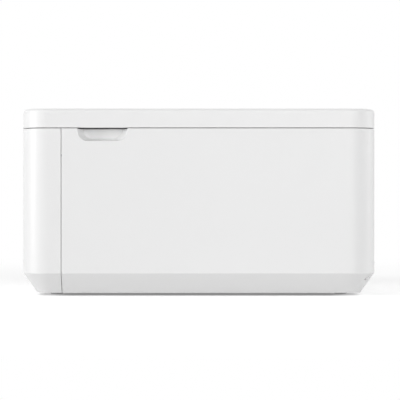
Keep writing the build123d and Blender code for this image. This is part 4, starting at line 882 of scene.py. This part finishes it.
@dataclass
class Lid:
    """The scanner lid with its liner and its foam pad."""

    edge: float = 0.35 * MM
    liner_edge: float = 0.2 * MM
    hinge_edge: float = 0.3 * MM
    pad_corner: float = 6.0 * MM
    pad_round: float = 1.2 * MM
    crown: float = 0.4 * MM

    def build(self) -> None:
        """Dress the lid."""
        softened("lid_shell", LID, self.edge)
        softened("lid_liner", LID, self.liner_edge)
        softened("lid_hinges", TRAY_GREY, self.hinge_edge)
        SoftPad("foam_pad", "document_pad", FOAM, self.pad_corner, self.pad_round, -self.crown).build()


@dataclass
class FrontCover:
    """The big fold-down panel with its liner and the tray extension."""

    edge: float = 0.35 * MM
    liner_edge: float = 0.25 * MM
    extension_edge: float = 0.4 * MM
    foot_line: float = 4.0 * MM
    rib_half: float = 0.8 * MM
    rib_rise: float = 0.7 * MM
    rib_edge: float = 0.35 * MM
    rib_end_gap: float = 6.0 * MM
    rib_places: tuple[float, ...] = (-128.0, -92.0, -56.0, -20.0, 16.0, 52.0, 88.0, 124.0)

    def build(self) -> None:
        """Dress the front cover."""
        softened("front_cover", CASING, self.edge, bare_below=self.foot_line)
        softened("front_cover_liner", TRAY_GREY, self.liner_edge)
        softened("tray_extension", TRAY_GREY, self.extension_edge)
        self.ribs()

    def ribs(self) -> None:
        """Raise the low ribs that the printed sheets slide on."""
        low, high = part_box("front_cover_liner")
        form = Form()
        for x in self.rib_places:
            form.rounded_block(
                Vector((x * MM - self.rib_half, high.y - self.rib_rise, low.z + self.rib_end_gap)),
                Vector((x * MM + self.rib_half, high.y + self.rib_rise, high.z - self.rib_end_gap)),
                self.rib_edge,
            )
        form.piece("liner_ribs", [TRAY_GREY], "front_cover", "inner_grey")


@dataclass
class Scanner:
    """The scanner under the lid."""

    frame_edge: float = 0.25 * MM
    bar_edge: float = 0.4 * MM
    guide_half: float = 1.6 * MM
    lens_half: float = 1.1 * MM
    strip_rise: float = 0.35 * MM
    strip_edge: float = 0.25 * MM
    end_gap: float = 6.0 * MM
    guide_place: float = -3.0 * MM
    lens_place: float = 2.5 * MM
    mark_radius: float = 3.0 * MM
    mark_offset: float = 5.0 * MM
    mark_rise: float = 0.2 * MM
    mark_edge: float = 0.08 * MM
    mark_turn: float = 45.0

    def build(self) -> None:
        """Dress the scanner."""
        softened("scanner_frame", LID, self.frame_edge)
        softened("scan_bar", DARK, self.bar_edge)
        for node, finish in (
            ("scanner_glass", GLASS), ("scanner_tray", DARK), ("scan_guide_rod", ROD), ("scan_motor", CAN),
            ("scan_belt", BELT), ("scan_drive_pulley", ACETAL), ("scan_idler_pulley", ACETAL),
        ):
            recoated(node, finish)
        self.strips()
        self.corner_mark()

    def strips(self) -> None:
        """Lay the light guide and the lens strip along the top of the scan bar."""
        low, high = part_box("scan_bar")
        middle = (low.x + high.x) / 2
        for name, place, half, finish in (
            ("scan_light_guide", self.guide_place, self.guide_half, LENS),
            ("scan_lens_strip", self.lens_place, self.lens_half, PANEL),
        ):
            form = Form()
            form.rounded_block(
                Vector((middle + place - half, low.y + self.end_gap, high.z - self.strip_rise)),
                Vector((middle + place + half, high.y - self.end_gap, high.z + self.strip_rise)),
                self.strip_edge,
            )
            form.piece(name, [finish], "scan_bar", "dark_plastic")

    def corner_mark(self) -> None:
        """Put the small triangle beside the corner of the glass where a page starts."""
        low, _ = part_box("scanner_glass")
        _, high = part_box("scanner_frame")
        place = Vector((low.x - self.mark_offset, low.y - self.mark_offset, high.z))
        turn = Matrix.Rotation(math.radians(self.mark_turn), 4, "Z")
        form = Form()
        bmesh.ops.create_cone(
            form.shape, cap_ends=True, segments=3, radius1=self.mark_radius, radius2=self.mark_radius,
            depth=self.mark_rise, matrix=Matrix.Translation(place) @ turn,
        )
        form.bevel(form.shape.edges[:], self.mark_edge, 1)
        form.piece("page_corner_mark", [INNER_GREY], "base", "lid_white")


@dataclass
class RearFeed:
    """The rear paper feed with its flap, chute and guides."""

    cover_edge: float = 0.3 * MM
    chute_edge: float = 0.25 * MM
    slider_edge: float = 0.4 * MM
    tyre_radius: float = 8.0 * MM

    def build(self) -> None:
        """Dress the rear feed."""
        softened("rear_feed_cover", CASING, self.cover_edge)
        softened("paper_support", TRAY_GREY, self.slider_edge)
        softened("feed_chute", INNER_GREY, self.chute_edge)
        for node in ("paper_guide_left", "paper_guide_right"):
            softened(node, TRAY_GREY, self.slider_edge)
        softened("pickup_roller", ACETAL, 0.0, zones=[tyre("pickup_roller", ROLLER, self.tyre_radius)])


class Icon(Enum):
    """The generic signs on the buttons."""

    POWER = "power_button"
    COPY = "copy_button"
    CANCEL = "cancel_button"


@dataclass
class Controls:
    """The control panel with its buttons. A sign's own measures are shares of its size."""

    panel_edge: float = 0.2 * MM
    flange: float = 0.9 * MM
    flange_rise: float = 2.0 * MM
    rim: float = 0.5 * MM
    rim_steps: int = 4
    button_steps: int = 48
    land: float = 0.5 * MM
    dish: float = 0.3 * MM
    stroke: float = 0.5 * MM
    print_rise: float = 0.1 * MM
    sign: float = 1.9 * MM
    sign_sink: float = 0.02 * MM
    ring_steps: int = 36
    ring_sweep: float = 290.0
    ring_start: float = 125.0
    bar: tuple[float, float] = (0.4, 1.35)
    cross_turns: tuple[float, float] = (45.0, -45.0)
    sheet_shifts: tuple[float, float] = (-0.3, 0.3)
    sheet_half: tuple[float, float] = (0.6, 0.8)
    sheet_stroke: float = 0.8
    lens_radius: float = 0.9 * MM
    lens_edge: float = 0.2 * MM
    lens_shoulder: float = 0.05 * MM
    lens_flat: float = 0.3 * MM
    lens_height: float = 0.65 * MM
    lens_sink: float = 0.5 * MM
    lens_setback: float = 4.0 * MM
    lens_steps: int = 24

    def build(self) -> None:
        """Dress the control panel."""
        softened("control_panel", PANEL, self.panel_edge)
        for icon in Icon:
            self.button(icon.value)
            self.print_icon(icon)
            self.lens(icon.value)

    def button(self, node: str) -> None:
        """Turn a button with a rounded rim and a shallow dish.

        Args:
            node: the button's CAD node, which it replaces.
        """
        low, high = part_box(node)
        outer = (high.x - low.x) / 2
        radius = outer - self.flange
        top = high.z - low.z
        profile = [(0.0, 0.0), (outer, 0.0), (outer, self.flange_rise), (radius, self.flange_rise)]
        for step in range(self.rim_steps + 1):
            turn = math.radians(90.0 * step / self.rim_steps)
            across, up = self.rim * math.cos(turn), self.rim * math.sin(turn)
            profile.append((radius - self.rim + across, top - self.rim + up))
        inner = radius - self.rim - self.land
        profile += [(inner, top), (inner - self.dish, top - self.dish), (0.0, top - self.dish)]
        form = Form()
        form.spin(profile, Vector(((low.x + high.x) / 2, (low.y + high.y) / 2, low.z)), self.button_steps)
        piece = form.piece(node + "_skin", [BUTTON], body_of(node), slot_of(node))
        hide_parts(node)

    def print_icon(self, icon: Icon) -> None:
        """Print a button's sign in its dish.

        Args:
            icon: the sign.
        """
        low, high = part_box(icon.value)
        centre = Vector(((low.x + high.x) / 2, (low.y + high.y) / 2, high.z - self.dish - self.sign_sink))
        half, rise, size = self.stroke / 2, self.print_rise, self.sign
        form = Form()
        if icon is Icon.POWER:
            inner, outer = size - half, size + half
            spots = ((inner, 0.0), (outer, 0.0), (outer, rise), (inner, rise))
            form.spin(spots, centre, self.ring_steps, self.ring_sweep, self.ring_start, ring=True)
            foot, tip = self.bar
            form.block(centre + Vector((-half, foot * size, 0.0)), centre + Vector((half, tip * size, rise)))
        elif icon is Icon.CANCEL:
            reach = Vector((size, half, 0.0))
            for angle in self.cross_turns:
                form.turned_block(centre - reach, centre + reach + Z_AXIS * rise, angle, "Z", centre)
        else:
            reach = Vector((self.sheet_half[0] * size, self.sheet_half[1] * size, 0.0))
            for shift in self.sheet_shifts:
                middle = centre + Vector((shift * size, shift * size, 0.0))
                top = middle + reach + Z_AXIS * rise
                form.outline(middle - reach, top, self.sheet_stroke * self.stroke)
        form.piece(icon.value + "_sign", [PRINT], body_of(icon.value), "panel_black")

    def lens(self, node: str) -> None:
        """Set the small lamp of a button in the panel, in front of it.

        Args:
            node: the button's CAD node.
        """
        low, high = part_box(node)
        _, panel_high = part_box("control_panel")
        centre = Vector(((low.x + high.x) / 2, low.y - self.lens_setback, panel_high.z - self.lens_sink))
        radius, top, edge = self.lens_radius, self.lens_height, self.lens_edge
        profile = [
            (0.0, 0.0), (radius, 0.0), (radius, top - edge), (radius - edge, top - self.lens_shoulder),
            (self.lens_flat, top), (0.0, top),
        ]
        form = Form()
        form.spin(profile, centre, self.lens_steps)
        form.piece(node + "_lamp", [LENS], "base", "panel_black")


@dataclass
class PrintMechanism:
    """The frame, the carriage, the rollers and the gears."""

    part_edge: float = 0.25 * MM
    carriage_edge: float = 0.5 * MM
    tyres: tuple[tuple[str, Finish, Finish, float], ...] = (
        ("feed_roller", ROD, GRIT, 5.0 * MM), ("exit_roller", DARK, ROLLER, 4.0 * MM),
        ("pinch_rollers", ROD, DARK, 2.6 * MM),
    )
    label_low: float = 98.0 * MM
    label_high: float = 134.0 * MM
    label_margin: float = 3.0 * MM
    band_height: float = 7.0 * MM
    chute_lip_z: float = 36.0 * MM
    chute_end_z: float = 58.0 * MM
    chute_rib_half: float = 0.7 * MM
    chute_rib_rise: float = 1.2 * MM
    chute_rib_root: float = 0.5 * MM
    chute_rib_gap: float = 4.0 * MM
    chute_rib_edge: float = 0.3 * MM
    chute_ribs: tuple[float, ...] = (-110.0, -74.0, -38.0, 0.0, 38.0, 74.0, 110.0)
    felt_corner: float = 4.0 * MM
    felt_round: float = 2.0 * MM
    felt_crown: float = 0.8 * MM

    def build(self) -> None:
        """Dress the print mechanism."""
        for finish, nodes in (
            (STEEL, ("main_frame", "star_wheels")),
            (ROD, ("carriage_guide_rod",)),
            (ACETAL, ("feed_gear", "exit_gear", "idler_gear", "motor_pinion")),
            (ACETAL, ("carriage_drive_pulley", "carriage_idler_pulley")),
            (CAN, ("carriage_motor", "feed_motor")),
            (DARK, ("platen", "star_wheel_bar")),
            (BELT, ("carriage_belt",)),
            (FILM, ("encoder_strip",)),
        ):
            for node in nodes:
                recoated(node, finish)
        self.rollers()
        softened("carriage", DARK, self.carriage_edge)
        self.cartridges()
        softened("maintenance_station", INNER_GREY, self.part_edge)
        softened("output_chute", INNER_GREY, self.part_edge)
        self.ribs()
        SoftPad("waste_felt", "waste_ink_pad", FELT, self.felt_corner, self.felt_round, self.felt_crown).build()

    def rollers(self) -> None:
        """Give the rollers their tyres."""
        for node, core, rubber, radius in self.tyres:
            softened(node, core, 0.0, zones=[tyre(node, rubber, radius)])

    def cartridges(self) -> None:
        """Label the cartridges, with plain colour bands on the one that holds three inks."""
        band_low = self.label_high - self.band_height
        for node, bands in (("black_cartridge", ()), ("colour_cartridge", (CYAN, MAGENTA, YELLOW))):
            low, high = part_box(node)
            left, right = low.x + self.label_margin, high.x - self.label_margin
            front, back = low.y - MM, low.y + MM
            cuts = [Cut(X_AXIS * x, X_AXIS) for x in (left, right)]
            cuts += [Cut(Z_AXIS * z, Z_AXIS) for z in (self.label_low, band_low, self.label_high)]
            whole = inside(Vector((left, front, self.label_low)), Vector((right, back, self.label_high)))
            zones = [Zone(LABEL, whole)]
            for number, band in enumerate(bands):
                start, stop = (left + (right - left) * (number + end) / len(bands) for end in (0, 1))
                cuts.append(Cut(X_AXIS * start, X_AXIS))
                part = inside(Vector((start, front, band_low)), Vector((stop, back, self.label_high)))
                zones.append(Zone(band, part))
            softened(node, CARTRIDGE, self.carriage_edge, zones=zones, cuts=cuts)

    def ribs(self) -> None:
        """Raise the ribs of the output chute along its slope."""
        low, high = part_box("output_chute")
        run = high.y - low.y
        slope = math.degrees(math.atan2(self.chute_end_z - self.chute_lip_z, run))
        form = Form()
        for place in self.chute_ribs:
            about = Vector((place * MM, low.y, self.chute_lip_z))
            first = about + Vector((-self.chute_rib_half, self.chute_rib_gap, -self.chute_rib_root))
            last = about + Vector((self.chute_rib_half, run - self.chute_rib_gap, self.chute_rib_rise))
            form.turned_block(first, last, slope, "X", about)
        form.bevel(form.shape.edges[:], self.chute_rib_edge)
        form.piece("chute_ribs", [INNER_GREY], "base", "inner_grey")


@dataclass
class Electrics:
    """The board, the power supply and its inlet."""

    supply_edge: float = 0.4 * MM
    inlet_edge: float = 0.2 * MM
    usb_x: float = -140.0 * MM
    usb_z: float = 44.0 * MM
    throat_half: tuple[float, float] = (4.5 * MM, 4.0 * MM)
    throat_depth: float = 9.0 * MM
    shell_sheet: float = 0.35 * MM
    shell_gap: float = 0.02 * MM
    shell_edge: float = 0.08 * MM
    pin_pitch: float = 8.4 * MM
    pin_reach: float = 1.3 * MM
    board_front: float = 7.0 * MM
    board_thickness: float = 1.6 * MM
    header_rise: float = 13.0 * MM
    margin: float = 0.1 * MM

    def build(self) -> None:
        """Dress the electrics."""
        self.board()
        self.shell()
        softened("power_supply", STEEL, self.supply_edge)
        self.inlet()

    def board(self) -> None:
        """Give the board its green, and its chips, headers and socket their own finishes."""
        low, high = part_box("main_board")
        face = low.y + self.board_front - self.margin
        back = low.y + self.board_front + self.board_thickness + self.margin
        header_low = high.z - self.header_rise
        zones = [
            Zone(DARK, lambda place: place.y < face and place.z < header_low),
            Zone(NYLON, lambda place: place.y < face and place.z > header_low),
            Zone(DARK, lambda place: place.y > back),
        ]
        softened("main_board", BOARD, 0.0, zones=zones)

    def shell(self) -> None:
        """Line the USB socket with its plated shell."""
        half_x, half_z = self.throat_half
        _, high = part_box("main_board")
        middle = Vector((self.usb_x, high.y - self.throat_depth / 2 - self.margin, self.usb_z))
        long_half = self.throat_depth / 2 - 2 * self.margin
        reach = Vector((half_x - self.shell_gap, long_half, half_z - self.shell_gap))
        form = Form()
        shape = form.shape
        form.block(middle - reach, middle + reach)
        ends = [face for face in shape.faces if abs(face.normal.y) > FACING]
        bmesh.ops.delete(shape, geom=ends, context="FACES_ONLY")
        bmesh.ops.solidify(shape, geom=shape.faces[:], thickness=self.shell_sheet)
        form.close()
        form.bevel(shape.edges[:], self.shell_edge, 1)
        form.piece("usb_shell", [PIN], "base", "steel")

    def inlet(self) -> None:
        """Give the two pins of the power inlet their plating."""
        low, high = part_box("power_inlet")
        middle = (low + high) / 2
        reach = self.pin_pitch / 2

        def on_pin(place: Vector) -> bool:
            """Return whether a point belongs to one of the pins."""
            return math.hypot(abs(place.x - middle.x) - reach, place.z - middle.z) < self.pin_reach

        softened("power_inlet", DARK, self.inlet_edge, zones=[Zone(PIN, on_pin)])


@dataclass(frozen=True)
class Lamp:
    """A soft rectangular lamp that faces the middle of the machine."""

    name: str
    place: tuple[float, float, float]
    size: tuple[float, float]
    power: float

    def hang(self, aim: Vector) -> None:
        """Hang the lamp.

        Args:
            aim: the point that it faces.
        """
        light = bpy.data.lights.new(self.name, "AREA")
        light.shape = "RECTANGLE"
        light.size, light.size_y = self.size
        light.energy = self.power
        place = Vector(self.place)
        turn = (aim - place).to_track_quat("-Z", "Y").to_matrix().to_4x4()
        linked(self.name, light).matrix_world = Matrix.Translation(place) @ turn


LAMPS = (
    Lamp("front lamp", (1.4, -3.2, 1.0), (3.0, 1.8), 50.5),
    Lamp("left strip", (-4.1, -1.5, 0.7), (1.25, 3.0), 145.0),
    Lamp("right strip", (3.7, 0.5, 0.7), (1.1, 2.6), 31.5),
    Lamp("top lamp", (0.0, 0.0, 2.6), (2.4, 2.4), 4.0),
)


@dataclass
class Studio:
    """The floor, the lamps, the white surround and the camera.

    The floor glows to the camera, with a painted shadow round the machine: by foot_glow in the painted shade, which
    is the machine's outline less the insets, by near_glow between foot_reach and near_reach from it, and white at
    far_reach.
    """

    view_width: float = 0.4492
    view_distance: float = 2.0
    view_x: float = 0.0014
    view_z: float = 0.1082
    sensor: float = 36.0
    aim_z: float = 0.1
    floor_size: float = 60.0
    floor_roughness: float = 0.9
    floor_tone: float = 0.82
    ambient: float = 0.34
    foot_glow: float = 0.24
    near_glow: float = 0.46
    side_inset: float = 0.05
    front_inset: float = 0.01
    foot_reach: float = 0.02
    near_reach: float = 0.05
    far_reach: float = 0.8

    def build(self) -> None:
        """Set up the studio."""
        self.surround()
        self.floor()
        for lamp in LAMPS:
            lamp.hang(Z_AXIS * self.aim_z)
        self.camera()

    def seen_directly(self, bench: Bench) -> Socket:
        """Return 1 for rays that the camera, a reflection or glass sends, and 0 for the light on surfaces.

        Args:
            bench: the bench of the world or of the floor's material.

        Returns:
            The mask.
        """
        rays = bench.add("LightPath").outputs
        mirrored = bench.math("MAXIMUM", rays["Is Camera Ray"], rays["Is Glossy Ray"])
        return bench.math("MAXIMUM", mirrored, rays["Is Transmission Ray"])

    def surround(self) -> None:
        """Make the world white to the camera and grey to the surfaces that it lights."""
        world = bpy.data.worlds.new("studio surround")
        bpy.context.scene.world = world
        world.use_nodes = True
        bench = Bench(world.node_tree)
        strength = bench.spread(self.seen_directly(bench), self.ambient, 1.0)
        bench.fill(world.node_tree.nodes["Background"], {"Color": (*WHITE, 1.0), "Strength": strength})

    def floor(self) -> None:
        """Lay a pale floor that keeps the shadow, has a painted shade round the machine and turns white away from it.
        """
        form = Form()
        bmesh.ops.create_grid(form.shape, x_segments=1, y_segments=1, size=self.floor_size / 2)
        floor = linked("studio_floor", form.mesh("studio_floor"))
        surface = Surface("studio floor")
        glow = self.glow(surface)
        tone = surface.spread(glow, self.floor_tone, 0.0, self.near_glow, 1.0)
        surface.set(
            Roughness=self.floor_roughness, Specular_IOR_Level=0.0, Emission_Color=(*WHITE, 1.0),
            Emission_Strength=glow,
            Base_Color=surface.add("CombineColor", Red=tone, Green=tone, Blue=tone).outputs["Color"],
        )
        floor.data.materials.append(surface.material)

    def glow(self, surface: Surface) -> Socket:
        """Return how much the floor glows to the camera, from the distance to the painted shade round the machine.

        Args:
            surface: the floor's material in the making.

        Returns:
            The strength.
        """
        half_x, half_y, _ = CAD_BOX[1]
        # The painted shade: the glow is lowest within the machine's outline less the insets, and rises away from it.
        shade = (half_x - self.side_inset, half_y - self.front_inset, 0.0)
        beyond = surface.vector("SUBTRACT", surface.vector("ABSOLUTE", surface.place), shade)
        reach = surface.vector("LENGTH", surface.vector("MAXIMUM", beyond, (0.0, 0.0, 0.0)))
        near = surface.spread(reach, self.foot_glow, self.near_glow, 0.0, self.foot_reach)
        far = surface.spread(reach, 0.0, 1.0 - self.near_glow, self.near_reach, self.far_reach)
        return surface.math("MULTIPLY", surface.math("ADD", near, far), self.seen_directly(surface))

    def camera(self) -> None:
        """Place the level camera in front of the machine."""
        lens = bpy.data.cameras.new("photo camera")
        lens.sensor_width = self.sensor
        lens.lens = self.sensor * self.view_distance / self.view_width
        camera = linked("photo camera", lens)
        camera.location = (self.view_x, CAD_BOX[0][1] - self.view_distance, self.view_z)
        camera.rotation_euler = (math.radians(90.0), 0.0, 0.0)
        bpy.context.scene.camera = camera


def main() -> None:
    """Build the studio and every sub-assembly in order."""
    logging.basicConfig(level=logging.INFO, format="%(name)s: %(message)s")
    bpy.context.scene.view_settings.view_transform = "Standard"
    for build in (build_grain, build_drift, build_brush, build_ribs):
        build()
    Studio().build()
    for assembly in (
        Casing(), Lid(), FrontCover(), Scanner(), RearFeed(), Controls(), PrintMechanism(), Electrics()
    ):
        log.info("building the %s", type(assembly).__name__)
        assembly.build()
    bpy.context.view_layer.update()


if __name__ == "__main__":
    main()
